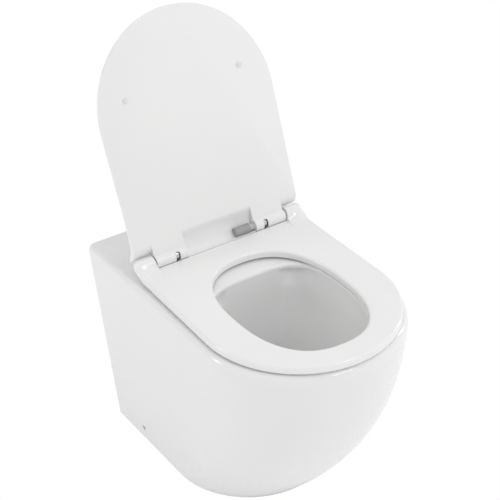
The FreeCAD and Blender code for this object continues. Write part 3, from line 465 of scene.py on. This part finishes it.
# The trap: the bent pipe of china under the sump, which holds the water seal and ends in the
# outlet spigot at the back. It is cast in its own mould, stuck to the bowl while still soft, and
# left rough outside.
biscuit = finish("trap_china", low=(0.70, 0.695, 0.68), high=(0.79, 0.785, 0.77),
                 rough=(0.18, 0.42), waves=14.0, grain=260.0, share=0.35, depth=0.0005)


def carry(material, *names):
    """Gives pieces that come over from the CAD frame their finish."""
    for name in names:
        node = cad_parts[name]
        node.data.materials.clear()
        node.data.materials.append(material)


carry(biscuit, "pan_trap")

# The flush passage: a flat chamber of the same china behind the ledge, with a round inlet that
# points to the wall. It is cast on its own and stuck to the bowl and the deck before the firing.
CHAMBER_SIZE = (0.164, 0.066, 0.084)
CHAMBER_PLACE = (0.0, 0.0755, 0.3455)
CHAMBER_ROUND = 0.012
INLET_Z = 0.340
# The inlet's tube, outside to its end and back inside: a place along y and a radius.
INLET_ROWS = [(0.100, 0.0365), (0.231, 0.0365), (0.2345, 0.0357), (0.2370, 0.0340),
              (0.2380, 0.0320), (0.2385, 0.0300), (0.2380, 0.0285), (0.2370, 0.0277),
              (0.2355, 0.0275), (0.120, 0.0275)]
INLET_TURNS = [2 * math.pi * i / 48 for i in range(48)]
bm = bmesh.new()
bmesh.ops.create_cube(bm, size=1.0)
bmesh.ops.scale(bm, vec=CHAMBER_SIZE, verts=bm.verts)
bmesh.ops.translate(bm, vec=CHAMBER_PLACE, verts=bm.verts)
bmesh.ops.bevel(bm, geom=list(bm.edges), offset=CHAMBER_ROUND, offset_type="OFFSET",
                affect="EDGES", segments=4, profile=0.5, material=-1)
rows = [[(radius * math.cos(a), y, INLET_Z + radius * math.sin(a)) for a in INLET_TURNS]
        for y, radius in INLET_ROWS]
close_ring(bm, grow(bm, close_ring(bm, first_ring(bm, rows[0])), rows[1:]))
flush_passage = finished(bm, "flush_passage_china", "pan_body", ("pan_flush",))
flush_passage.data.materials.append(biscuit)

# The flush sleeve: a ribbed black rubber ring pressed into the china inlet, which grips the flush
# pipe that comes out of the wall. Moulded in one piece and pushed in by hand.
seal = finish("seal_rubber", low=(0.018, 0.018, 0.018), high=(0.035, 0.035, 0.034),
              rough=(0.5, 0.7), waves=50.0, grain=900.0, share=0.5, depth=0.0003)
carry(seal, "flush_cone")

# The floor fixing: two bent steel angles screwed to the floor inside the foot, and a screw through
# each side of the pan into its angle. The screws sit in grey plastic sleeves that keep steel off
# the china.
steel = finish("plain_steel", low=(0.56, 0.56, 0.555), high=(0.66, 0.66, 0.65), rough=(0.20, 0.40),
               waves=40.0, grain=1200.0, share=0.5, depth=0.0001, metallic=1.0)
sleeve_grey = finish("sleeve_grey", low=(0.42, 0.42, 0.42), high=(0.50, 0.50, 0.495),
                     rough=(0.35, 0.55), waves=60.0, grain=1500.0, share=0.5, depth=0.0002)
carry(steel, "floor_bracket_left", "floor_bracket_right", "side_screws")
carry(sleeve_grey, "side_sleeves")

# The hinge feet: stamped steel plates on thin soft pads, each with a welded post that stands up
# into the slot of the lid's barrel. They carry the whole seat and spread its load over the deck.
polished = finish("polished_steel", low=(0.60, 0.60, 0.595), high=(0.68, 0.68, 0.67),
                  rough=(0.12, 0.26), waves=30.0, grain=900.0, share=0.4, depth=0.00006,
                  metallic=1.0)
pad = finish("pad_rubber", low=(0.70, 0.70, 0.69), high=(0.78, 0.78, 0.76), rough=(0.45, 0.6),
             waves=60.0, grain=900.0, share=0.4, depth=0.0002)
carry(polished, "hinge_plate_left", "hinge_plate_right", "hinge_post_left", "hinge_post_right")
carry(pad, "hinge_gaskets")

# The deck bolts: steel bolts that go down through the two deck holes and are drawn tight from
# below by plastic wing nuts on soft washers, so that the china isn't cracked.
light_grey = finish("light_grey_plastic", low=(0.48, 0.48, 0.48), high=(0.56, 0.56, 0.555),
                    rough=(0.35, 0.5), waves=60.0, grain=1500.0, share=0.5, depth=0.0002)
carry(steel, "hinge_bolts")
carry(light_grey, "hinge_nuts")
carry(pad, "hinge_washers")

# The hinge pins: turned and polished steel rods, one on each side, fixed in the posts. The seat's
# ears and the lid's barrels both turn on them.
carry(polished, "hinge_pin_left", "hinge_pin_right")

# The seat ring: one slim moulding in gloss white thermoset plastic with an egg-shaped opening. Its
# rear corners rise into two hinge ears, and the bar between them is hollowed round the lid's
# barrels.
HINGE_Z = 0.426
SEAT_LOW = 0.406
SEAT_TOP = 0.420
SEAT_HALF = 0.180
SEAT_REAR_HALF = 0.176
SEAT_FRONT = HINGE_Y - 0.4345
SEAT_LENGTH = 0.1872
OPEN_CENTRE = HINGE_Y - 0.22625
OPEN_HALF = 0.110
OPEN_REACH = 0.15925
OPEN_POWER = 2.4
OPEN_ROUND = 0.0055
LOW_CUT = 0.0012


def opening_point(angle, out):
    """A point of the seat's opening, moved outwards."""
    reach = OPEN_REACH + out
    half = OPEN_HALF + out
    c = math.cos(angle)
    s = math.sin(angle)
    radius = ((abs(c) / half) ** OPEN_POWER + (abs(s) / reach) ** OPEN_POWER) ** (-1 / OPEN_POWER)
    return Vector((radius * c, OPEN_CENTRE + radius * s, 0.0))


def bezier(a, b, c, d, t):
    """A point on a cubic curve."""
    u = 1 - t
    return tuple(u ** 3 * p + 3 * u * u * t * q + 3 * u * t * t * r + t ** 3 * s
                 for p, q, r, s in zip(a, b, c, d))


def opening_side(angle):
    """The part of a seat section at the opening: its wall and its rounded upper edge."""
    rows = [(LOW_CUT, SEAT_LOW), (0.0, SEAT_LOW + LOW_CUT), (0.0, 0.4105)]
    rows += [(OPEN_ROUND * (1 - math.cos(turn)), SEAT_TOP - OPEN_ROUND * (1 - math.sin(turn)))
             for turn in quarter(6)]
    points = []
    for out, z in rows:
        point = opening_point(angle, out)
        point.z = z
        points.append(point)
    return points


EDGE_STEPS = 10
EDGE_ROUND = 0.0045
WALL_STEPS = 26
LOW_ROUND = 0.0015
TOP_SHARES = (0.34, 0.67, 0.93)


def ring_section(x, y, way):
    """A section of the seat through its outer edge at x, y, which faces along way."""
    points = opening_side(math.atan2(y - OPEN_CENTRE, x))
    start = points[-1]
    edge = Vector((x, y, 0.0))
    out = Vector((way[0], way[1], 0.0)).normalized()
    inner = edge - out * EDGE_ROUND
    for share in TOP_SHARES:
        points.append(Vector((start.x + (inner.x - start.x) * share,
                              start.y + (inner.y - start.y) * share, SEAT_TOP)))
    rows = [(EDGE_ROUND * (1 - math.sin(turn)), SEAT_TOP - EDGE_ROUND * (1 - math.cos(turn)))
            for turn in quarter(EDGE_STEPS)]
    high = SEAT_TOP - EDGE_ROUND
    low = SEAT_LOW + LOW_ROUND
    rows += [(0.0, high + (low - high) * (i + 1) / (WALL_STEPS + 1)) for i in range(WALL_STEPS)]
    rows += [(LOW_ROUND * (1 - math.cos(turn)), SEAT_LOW + LOW_ROUND * (1 - math.sin(turn)))
             for turn in quarter(5)]
    rows += [(inset, SEAT_LOW) for inset in (0.006, 0.012, 0.018)]
    return points + [edge - out * inset + Vector((0.0, 0.0, z)) for inset, z in rows]


def rear_start(x, y):
    """The part of a rear section from the opening to the ear's foot, at y from the hinge axis."""
    points = opening_side(math.atan2(HINGE_Y + y - OPEN_CENTRE, x))
    foot = Vector((x, HINGE_Y + y - 0.002, SEAT_TOP))
    return points + [points[-1].lerp(foot, share) for share in (0.34, 0.67, 1.0)]


# The rear of the seat is measured from the hinge axis.
FOOT_Y = -0.042
RAMP_Y = -0.038
TOP_Z = -0.006
UNDER_Z = -0.020
NOTCH_RADIUS = 0.0135
NOTCH_BACK = 0.0105


def bar_section(x):
    """The bar between the ears: flat to the notch, hollowed round the barrels, upright below."""
    rows = [(FOOT_Y + 0.004 * i / EDGE_STEPS, TOP_Z) for i in range(EDGE_STEPS + 1)]
    rows += [(y, TOP_Z) for y in (-0.0345, -0.031, -0.0275, -0.024, -0.0205, -0.0175, -0.015,
                                  -0.0133)]
    rows += [(-0.0126, -0.00603), (-0.01225, -0.0063)]
    edge = math.asin(-TOP_Z / NOTCH_RADIUS)
    for i in range(1, 5):
        turn = edge + (math.acos(NOTCH_BACK / NOTCH_RADIUS) - edge) * i / 4
        rows.append((-NOTCH_RADIUS * math.cos(turn), -NOTCH_RADIUS * math.sin(turn)))
    rows += [(-NOTCH_BACK, -0.0105 - 0.0015 * i) for i in range(6)]
    rows += [(-0.0106, -0.0196), (-0.0109, -0.0199)]
    rows += [(y, UNDER_Z) for y in (-0.0115, -0.014, -0.017, -0.020)]
    rows += [(-0.022 - 0.0019 * i, UNDER_Z) for i in range(9)]
    return rear_start(x, FOOT_Y) + [Vector((x, HINGE_Y + y, HINGE_Z + z)) for y, z in rows]


EAR_INNER = 0.1382
EAR_RADIUS = 0.014
EAR_ROUND = 0.008
EAR_EASE = 0.022
EAR_LEAN = 0.15
EAR_STOP = math.radians(257.7)


def ear_section(x, step):
    """A section of an ear at one x; the steps from 0 to 10 turn over its rounded outer end."""
    outer = SEAT_REAR_HALF
    share = ease((x - EAR_INNER) / EAR_EASE)
    foot = FOOT_Y - 0.0012 * step
    points = rear_start(min(x, outer - EDGE_ROUND), foot)
    for i in range(EDGE_STEPS + 1):
        over = math.pi / 2 * min(i, step) / EDGE_STEPS
        run = 0.0 if i <= step else (i - step) / (EDGE_STEPS - step)
        at_x = outer - EDGE_ROUND + EDGE_ROUND * math.sin(over) if step else x
        points.append(Vector((at_x, HINGE_Y + foot + (RAMP_Y - foot) * run,
                              SEAT_TOP - EDGE_ROUND * (1 - math.cos(over)))))

    def lay(y, z, ny, nz, roundness, lean):
        """Adds a point, sunk along its normal where the outer end is rounded."""
        drop = 0.0
        near = x - (outer - roundness)
        if near > 0:
            drop = roundness * (1 - math.sqrt(max(0.0, 1 - (near / roundness) ** 2)))
        slant = lean * (1 - share) * EAR_LEAN * max(0.0, z - TOP_Z)
        points.append(Vector((x + slant, HINGE_Y + y - ny * drop, HINGE_Z + z - nz * drop)))

    # The soft ramp up to the ear, the ear's round back, and its underside.
    rise = math.radians(20 + 20 * share)
    top = (-EAR_RADIUS * math.cos(rise), EAR_RADIUS * math.sin(rise))
    grip = 0.005 + 0.004 * share
    lead = (top[0] - grip * math.sin(rise), top[1] - grip * math.cos(rise))
    begin = (-0.036, TOP_Z)
    hold = (-0.0150 - 0.0100 * share, TOP_Z)
    for i in range(1, 11):
        y, z = bezier(begin, hold, lead, top, i / 10)
        y0, z0 = bezier(begin, hold, lead, top, i / 10 - 0.01)
        size = math.hypot(y - y0, z - z0)
        lay(y, z, -(z - z0) / size, (y - y0) / size, EDGE_ROUND + 0.0035 * ((i - 1) / 9) ** 2, 1.0)
    for i in range(1, 17):
        angle = rise + (EAR_STOP - rise) * i / 16
        c = math.cos(angle)
        s = math.sin(angle)
        lay(-EAR_RADIUS * c, EAR_RADIUS * s, -c, s, EAR_ROUND, min(1.0, max(0.0, (16 - i) / 6)))
    for i in range(1, 7):
        roundness = 0.0075 - 0.006 * i / 6
        lay(0.003 - 0.029 * i / 6, -0.01368 - 0.00632 * i / 6, 0.0, -1.0, roundness, 0.0)
    low_edge = points[-1]
    for i in range(1, 4):
        straight = Vector((x, HINGE_Y - 0.025 - 0.004 * i, SEAT_LOW))
        fan = low_edge.lerp(points[0], 0.04 * i - 0.01)
        fan.z = SEAT_LOW
        points.append(straight.lerp(fan, share))
    return points


# Half the seat as sections: the bar, an ear, the straight side and the nose; then the other half.
BAR_SECTIONS = 13
EAR_PLACES = (EAR_INNER, 0.1415, 0.1455, 0.150, 0.155, 0.160, 0.1645, 0.168)
SIDE_SECTIONS = 18
SIDE_START = HINGE_Y - 0.0585
columns = [bar_section(EAR_INNER * i / (BAR_SECTIONS - 1)) for i in range(BAR_SECTIONS)]
columns += [ear_section(x, 0) for x in EAR_PLACES]
columns += [ear_section(SEAT_REAR_HALF - EDGE_ROUND + EDGE_ROUND * math.sin(turn), step)
            for step, turn in enumerate(quarter(EDGE_STEPS))]
middle = SEAT_FRONT + SEAT_LENGTH
for i in range(SIDE_SECTIONS):
    y = SIDE_START + (middle - SIDE_START) * i / SIDE_SECTIONS
    x = SEAT_REAR_HALF + (SEAT_HALF - SEAT_REAR_HALF) * (SIDE_START - y) / (SIDE_START - middle)
    columns.append(ring_section(x, y, (1.0, 0.0)))
for turn in NOSE_TURNS[:NOSE_STEPS // 2 + 1]:
    c = math.cos(turn)
    s = math.sin(turn)
    columns.append(ring_section(SEAT_HALF * c, middle - SEAT_LENGTH * s,
                                (c / SEAT_HALF, -s / SEAT_LENGTH)))
columns += [[Vector((-p.x, p.y, p.z)) for p in column] for column in reversed(columns[1:-1])]


def lay_rings(bm, rows):
    """Lays ring after ring on rows of points and returns them all."""
    rings = [first_ring(bm, rows[0])]
    for points in rows[1:]:
        rings.append(next_ring(bm, rings[-1], points))
    return rings


bm = bmesh.new()
rings = lay_rings(bm, columns)
bmesh.ops.bridge_loops(bm, edges=ring_edges(bm, rings[0]) + ring_edges(bm, rings[-1]))
# Each ear ends in one flat face, flush with the side of the ring.
cap_start = len(opening_side(0.0)) + len(TOP_SHARES) + EDGE_STEPS
cap_rows = range(cap_start, cap_start + WALL_STEPS + 7)
ear_end = BAR_SECTIONS + len(EAR_PLACES) + EDGE_STEPS
for ear, side in ((rings[ear_end], rings[ear_end + 1]), (rings[-ear_end], rings[-ear_end - 1])):
    gone = [face for r in cap_rows[:-1]
            for face in bm.edges.get((ear[r], ear[r + 1])).link_faces if side[r] in face.verts]
    bmesh.ops.delete(bm, geom=gone, context="FACES")
    rim = [ear[r] for r in cap_rows] + [side[r] for r in reversed(cap_rows)]
    near_rim = dict.fromkeys(edge for vert in rim for edge in vert.link_edges)
    bmesh.ops.contextual_create(bm, geom=[
        edge for edge in near_rim
        if edge.verts[0] in rim and edge.verts[1] in rim and edge.is_boundary])
bmesh.ops.remove_doubles(bm, verts=bm.verts, dist=TINY)
seat = finished(bm, "seat_ring_moulding", "seat", ("seat_ring",), 30.0)
plastic = finish("white_seat_plastic", low=(0.82, 0.822, 0.82), high=(0.845, 0.845, 0.84),
                 rough=(0.07, 0.13), waves=10.0, grain=90.0, share=0.012, depth=0.00010)
seat.data.materials.append(plastic)

# The seat's pads: four soft off-white feet pressed into blind holes under the ring, which keep it
# off the china and stop it from sliding.
carry(pad, "seat_bumpers")

# The seat's soft-close damper: a dark grey moulded can inside the left ear, closed by a cap, round
# a rotor that stays with the pin. The right ear has only a plain grey bush.
damper_grey = finish("damper_grey", low=(0.30, 0.30, 0.305), high=(0.37, 0.37, 0.375),
                     rough=(0.32, 0.5), waves=60.0, grain=1500.0, share=0.5, depth=0.0002)
carry(damper_grey, "seat_damper_housing")
carry(light_grey, "seat_damper_cap", "seat_damper_rotor", "seat_bush_right")

# The lid: a thin gloss white moulding that thickens towards its rear, where two barrels with slots
# for the posts carry it on the hinge pins. The hollow between the barrels takes the damper. It is
# laid out closed, with y and z measured from the hinge axis, and then turned open.
LID_ANGLE = math.radians(-110.8)
LID_HALF = 0.177
LID_REAR_HALF = 0.173
LID_FRONT = -0.4325
LID_LENGTH = LID_HALF * 1.04
LID_LOW = -0.004
LID_TOP = 0.003
LID_JOIN = -0.040
LID_ROUND = 0.003
LID_POLE = 0.15
RISE_Y = 0.095
RISE_BEND = 0.012
RISE_SLOPE = 0.1005


def lid_top(y):
    """Height of the lid's outer face, which starts to rise towards the hinge with a soft bend."""
    rise = y + RISE_Y
    if rise < -RISE_BEND:
        return LID_TOP
    if rise < RISE_BEND:
        return LID_TOP + RISE_SLOPE * (rise + RISE_BEND) ** 2 / (4 * RISE_BEND)
    return LID_TOP + RISE_SLOPE * rise


middle = LID_FRONT + LID_LENGTH
left = [(-LID_REAR_HALF + (LID_REAR_HALF - LID_HALF) * i / 20,
         LID_JOIN + (middle - LID_JOIN) * i / 20) for i in range(20)]
nose = [(-LID_HALF * math.cos(turn), middle - LID_LENGTH * math.sin(turn)) for turn in NOSE_TURNS]
outline = left + nose + [(-x, y) for x, y in reversed(left)]
free = len(outline)
outline += [(LID_REAR_HALF * (1 - 2 * i / 42), LID_JOIN) for i in range(1, 42)]


def lid_ring(inset, height):
    """The lid's outline drawn in by an amount, at a height given by a rule for each place."""
    points = []
    for i, (x, y) in enumerate(outline):
        if i < free:
            ax, ay = outline[max(i - 1, 0)]
            bx, by = outline[min(i + 1, free - 1)]
            size = math.hypot(bx - ax, by - ay)
            x, y = x - (by - ay) / size * inset, y + (bx - ax) / size * inset
        points.append((x, HINGE_Y + y, HINGE_Z + height(y)))
    return points


def top_edge(turn):
    """A row of the lid's rounded upper edge."""
    return lid_ring(LID_ROUND * (1 - math.cos(turn)),
                    lambda y: lid_top(y) - LID_ROUND * (1 - math.sin(turn)))


# The panel: its flat underside, its edge, and its face in rows that shrink towards one point.
bm = bmesh.new()
ring = close_ring(bm, first_ring(bm, lid_ring(0.0012, lambda y: LID_LOW)))
for inset, lift in ((0.0005, 0.0002), (0.0001, 0.0006), (0.0, 0.0012)):
    ring = next_ring(bm, ring, lid_ring(inset, lambda y: LID_LOW + lift))
ring = grow(bm, ring, [top_edge(turn) for turn in quarter(7)])
edge = [(v.co.x, v.co.y - HINGE_Y) for v in ring]
for share in (0.96, 0.9, 0.8, 0.65, 0.45, 0.2):
    ring = next_ring(bm, ring, [(x * share, HINGE_Y - LID_POLE + (y + LID_POLE) * share,
                                 HINGE_Z + lid_top(-LID_POLE + (y + LID_POLE) * share))
                                for x, y in edge])
close_ring(bm, ring)


def around(radius, degrees):
    """A point on a circle round the axis: 0 faces the front, 90 the top, 180 the back."""
    turn = math.radians(degrees)
    return -radius * math.cos(turn), radius * math.sin(turn)


def arc(radius, start, stop, steps):
    """Points round the axis from one angle to another."""
    return [around(radius, start + (stop - start) * i / steps) for i in range(steps + 1)]


BARREL_RADIUS = 0.0125
BARREL_INNER = 0.073
BARREL_OUTER = EAR_INNER - 0.001
BARREL_ROUND = 0.0006
SLOT_CENTRE = 0.094
SLOT_HALF = 0.00475
SLOT_FLOOR = 0.0092
SLOT_STOP = -52
SLOT_END = 121
# Where the lid's outer face touches the barrel, and where its underside meets the barrel.
TANGENT = 83.9
DIP = -math.degrees(math.asin(-LID_LOW / BARREL_RADIUS))
WEB_TOP = [(y, lid_top(y)) for y in (-0.012, -0.022, LID_JOIN)]


def web_rows(rows):
    """Closes a barrel section with the web that runs to the lid."""
    return [(y, LID_LOW) for y in (LID_JOIN, -0.030, -0.021, -0.0155)] + rows + WEB_TOP


def full_rows(inset):
    """A whole barrel, drawn in where its end is rounded."""
    return web_rows(arc(BARREL_RADIUS - inset, DIP, TANGENT - 360, 27))


def slot_rows(stop):
    """A barrel where the post's slot leaves only a lip and the web."""
    return web_rows(arc(BARREL_RADIUS, DIP, stop, 5) + arc(SLOT_FLOOR, SLOT_STOP, SLOT_END, 16)
                    + arc(BARREL_RADIUS, SLOT_END, TANGENT, 4))


def lay_sections(bm, sections):
    """Lays closed sections of the lid side by side and closes the first and the last."""
    rings = lay_rings(bm, [[(x, HINGE_Y + y, HINGE_Z + z) for y, z in rows]
                           for x, rows in sections])
    close_ring(bm, rings[0])
    close_ring(bm, rings[-1])


barrel = [(BARREL_INNER, full_rows(BARREL_ROUND))]
barrel += [(x, full_rows(0.0)) for x in (BARREL_INNER + BARREL_ROUND, 0.082,
                                         SLOT_CENTRE - SLOT_HALF)]
for i in range(13):
    off = -1 + 2 * i / 12
    drop = math.degrees(SLOT_HALF * (1 - math.sqrt(1 - off * off)) / BARREL_RADIUS)
    barrel.append((SLOT_CENTRE + SLOT_HALF * off, slot_rows(SLOT_STOP - drop)))
barrel += [(x, full_rows(0.0)) for x in (SLOT_CENTRE + SLOT_HALF, 0.112, 0.125,
                                         BARREL_OUTER - BARREL_ROUND)]
barrel.append((BARREL_OUTER, full_rows(BARREL_ROUND)))
for sign in (-1, 1):
    lay_sections(bm, [(sign * x, rows) for x, rows in barrel])

# The corner lugs beside the barrels. Their underside follows the ears' ramp, and their face rises
# above the lid's where they pass over the ears.
LUG_UNDER = [(LID_JOIN, LID_LOW), (-0.0345, LID_LOW), (-0.0318, -0.0038), (-0.0292, -0.0032),
             (-0.0265, -0.0020), (-0.0240, -0.0004), (-0.0212, 0.0015), (-0.0184, 0.0038),
             (-0.016, 0.0063), (-0.0145, 0.0088)]
LUG_TIP = [(-0.0129, 0.0125), (-0.0114, 0.0165), (-0.0102, 0.0195), (-0.0099, 0.0215),
           (-0.0106, 0.0226), (-0.012, 0.0230)]
LUG_TOP = [(y, lid_top(y) + 0.012 * ease((y - LID_JOIN) / 0.030))
           for y in (-0.0145, -0.018, -0.022, -0.026, -0.030, -0.034, LID_JOIN)]
LUG_INNER_ROUND = 0.0015
LUG_LOW_ROUND = 0.0012
LUG_ROUND = 0.003
FAR_INSIDE = 1.0


def lug_rows(near, low_round, high_round):
    """A section of a lug; near is how far inside its rounded end the section lies."""
    rows = LUG_UNDER + LUG_TIP + LUG_TOP
    last = len(rows) - 1
    laid = []
    for i, (y, z) in enumerate(rows):
        over_top = ease((i - len(LUG_UNDER) - len(LUG_TIP)) / 4)
        roundness = low_round + (high_round - low_round) * over_top
        drop = 0.0
        if near < roundness:
            drop = roundness - math.sqrt(roundness ** 2 - (roundness - near) ** 2)
        ay, az = rows[max(i - 1, 0)]
        by, bz = rows[min(i + 1, last)]
        size = math.hypot(by - ay, bz - az)
        ny, nz = -(bz - az) / size, (by - ay) / size
        if i in (0, last):
            ny, nz = 0.0, 1.0 if i == 0 else -1.0
        laid.append((y + ny * drop, z + nz * drop))
    return laid


lug = []
for turn in quarter(5):
    near = LUG_INNER_ROUND * (1 - math.cos(turn))
    lug.append((BARREL_OUTER - 0.0001 + near, lug_rows(near, 0.0, LUG_INNER_ROUND)))
lug += [(x, lug_rows(FAR_INSIDE, 0.0, LUG_ROUND)) for x in (0.146, 0.158)]
for turn in quarter(8):
    near = LUG_ROUND * (1 - math.sin(turn))
    lug.append((LID_REAR_HALF - near, lug_rows(near, LUG_LOW_ROUND, LUG_ROUND)))
for sign in (-1, 1):
    lay_sections(bm, [(sign * x, rows) for x, rows in lug])

# The trough between the barrels, a soft half pipe that faces the front when the lid is open.
TROUGH_START = (LID_JOIN, LID_LOW)
TROUGH_MIDDLE = (-0.0125, 0.0069)
TROUGH_END = (0.0084, -0.0036)
trough = [TROUGH_START]
trough += [bezier(TROUGH_START, (-0.0335, -0.0040), (-0.0265, 0.0058), TROUGH_MIDDLE, i / 14)
           for i in range(1, 15)]
trough += [bezier(TROUGH_MIDDLE, (-0.0015, 0.0076), (0.0098, 0.0050), TROUGH_END, i / 12)
           for i in range(1, 13)]
trough += [(0.0087, -0.0042), (0.0095, -0.0046), (0.0104, -0.0046)]
trough += arc(BARREL_RADIUS, 199, TANGENT, 8) + WEB_TOP
lay_sections(bm, [(-BARREL_INNER + 2 * BARREL_INNER * i / 8, trough) for i in range(9)])
bmesh.ops.rotate(bm, cent=(0.0, HINGE_Y, HINGE_Z), matrix=Matrix.Rotation(LID_ANGLE, 3, "X"),
                 verts=bm.verts)
lid = finished(bm, "lid_moulding", "lid", ("lid_panel",), 30.0)
lid.data.materials.append(plastic)

# The lid's pads: two small round soft buttons pressed into the underside near the front, which
# land on the seat when the lid closes.
carry(pad, "lid_bumpers")

# The lid's soft-close damper: a grey moulded can in the trough beside the right barrel. Its lighter
# neck enters the barrel and turns round the rotor on the pin; plain grey bushes guide the barrels.
carry(damper_grey, "lid_damper_housing")
carry(light_grey, "lid_damper_collar", "lid_damper_rotor", "lid_bushes_left", "lid_bushes_right")

# The studio: a white floor, even white light from all round, and soft boxes whose reflections draw
# the bright lines along the rounded edges. The camera stands in front, to the left and above.
AZIMUTH = math.radians(-31.64)
ELEVATION = math.radians(32.64)
ROLL = math.radians(-2.35)
AIM = Vector((-0.06522, -0.0605, 0.53119))
DISTANCE = 2.99157
back = Vector((math.sin(AZIMUTH) * math.cos(ELEVATION), -math.cos(AZIMUTH) * math.cos(ELEVATION),
               math.sin(ELEVATION)))
right = Vector((math.cos(AZIMUTH), math.sin(AZIMUTH), 0.0))
up = back.cross(right)
across = right * math.cos(ROLL) + up * math.sin(ROLL)
above = up * math.cos(ROLL) - right * math.sin(ROLL)
place = AIM + back * DISTANCE
camera_data = bpy.data.cameras.new("camera")
camera_data.sensor_width = 36.0
camera_data.lens = 127.743
camera_data.shift_x = 0.005
camera_data.shift_y = -0.00154
camera = bpy.data.objects.new("camera", camera_data)
camera.matrix_world = Matrix((
    (across.x, above.x, back.x, place.x), (across.y, above.y, back.y, place.y),
    (across.z, above.z, back.z, place.z), (0.0, 0.0, 0.0, 1.0)))
bpy.context.scene.collection.objects.link(camera)
bpy.context.scene.camera = camera
bpy.context.scene.view_settings.view_transform = "Standard"
WHITE = (1.0, 1.0, 1.0, 1.0)


def light_tent(left, right, front, rear, top):
    """White cloth all round whose brightness changes softly from one side to the next."""
    world = bpy.data.worlds.new("light_tent")
    world.use_nodes = True
    nodes = world.node_tree.nodes
    links = world.node_tree.links

    def reckon(operation, *values):
        """A Math node on numbers and other nodes' outputs."""
        node = nodes.new("ShaderNodeMath")
        node.operation = operation
        for socket, value in zip(node.inputs, values):
            if isinstance(value, bpy.types.NodeSocket):
                links.new(value, socket)
            else:
                socket.default_value = value
        return node.outputs[0]

    way = nodes.new("ShaderNodeTexCoord")
    parts = nodes.new("ShaderNodeSeparateXYZ")
    links.new(way.outputs["Generated"], parts.inputs[0])
    total = 0.0
    for axis, sign, power in (("X", -1, left), ("X", 1, right), ("Y", -1, front), ("Y", 1, rear),
                              ("Z", 1, top)):
        facing = reckon("MAXIMUM", reckon("MULTIPLY", parts.outputs[axis], sign), 0.0)
        total = reckon("MULTIPLY_ADD", reckon("POWER", facing, 2.0), power, total)
    seen = nodes.new("ShaderNodeLightPath")
    brightest = reckon("MAXIMUM", total, seen.outputs["Is Camera Ray"])
    links.new(brightest, nodes["Background"].inputs["Strength"])
    nodes["Background"].inputs["Color"].default_value = WHITE
    bpy.context.scene.world = world


light_tent(left=0.68, right=0.92, front=0.80, rear=0.50, top=0.98)

floor_mesh = bpy.data.meshes.new("floor")
bm = bmesh.new()
bmesh.ops.create_grid(bm, x_segments=1, y_segments=1, size=40.0)
bm.to_mesh(floor_mesh)
bm.free()
floor = bpy.data.objects.new("floor", floor_mesh)
bpy.context.scene.collection.objects.link(floor)
floor_white = bpy.data.materials.new("floor_white")
floor_white.use_nodes = True
nodes = floor_white.node_tree.nodes
links = floor_white.node_tree.links
shader = nodes["Principled BSDF"]
shader.inputs["Base Color"].default_value = (0.75, 0.75, 0.75, 1.0)
shader.inputs["Roughness"].default_value = 0.9
shader.inputs["Emission Color"].default_value = WHITE
shader.inputs["Emission Strength"].default_value = 0.22
glow = nodes.new("ShaderNodeEmission")
glow.inputs["Color"].default_value = WHITE
seen = nodes.new("ShaderNodeLightPath")
blend = nodes.new("ShaderNodeMixShader")
links.new(seen.outputs["Is Camera Ray"], blend.inputs["Fac"])
links.new(shader.outputs["BSDF"], blend.inputs[1])
links.new(glow.outputs["Emission"], blend.inputs[2])
links.new(blend.outputs["Shader"], nodes["Material Output"].inputs["Surface"])
floor.data.materials.append(floor_white)


def soft_box(name, spot, aim, width, height, power):
    """An area light that faces a point."""
    data = bpy.data.lights.new(name, "AREA")
    data.shape = "RECTANGLE"
    data.size = width
    data.size_y = height
    data.energy = power
    box = bpy.data.objects.new(name, data)
    box.location = spot
    box.rotation_euler = (Vector(aim) - Vector(spot)).to_track_quat("-Z", "Y").to_euler()
    bpy.context.scene.collection.objects.link(box)


soft_box("strip_left", (-2.5, 1.2, 1.25), (0.0, 0.0, 0.4), width=0.5, height=1.4, power=10.0)
soft_box("strip_right", (2.6, -0.1, 1.25), (0.0, 0.0, 0.4), width=0.35, height=1.0, power=6.0)
soft_box("strip_front", (0.85, -2.4, 3.1), (0.0, -0.1, 0.4), width=1.2, height=0.8, power=16.0)
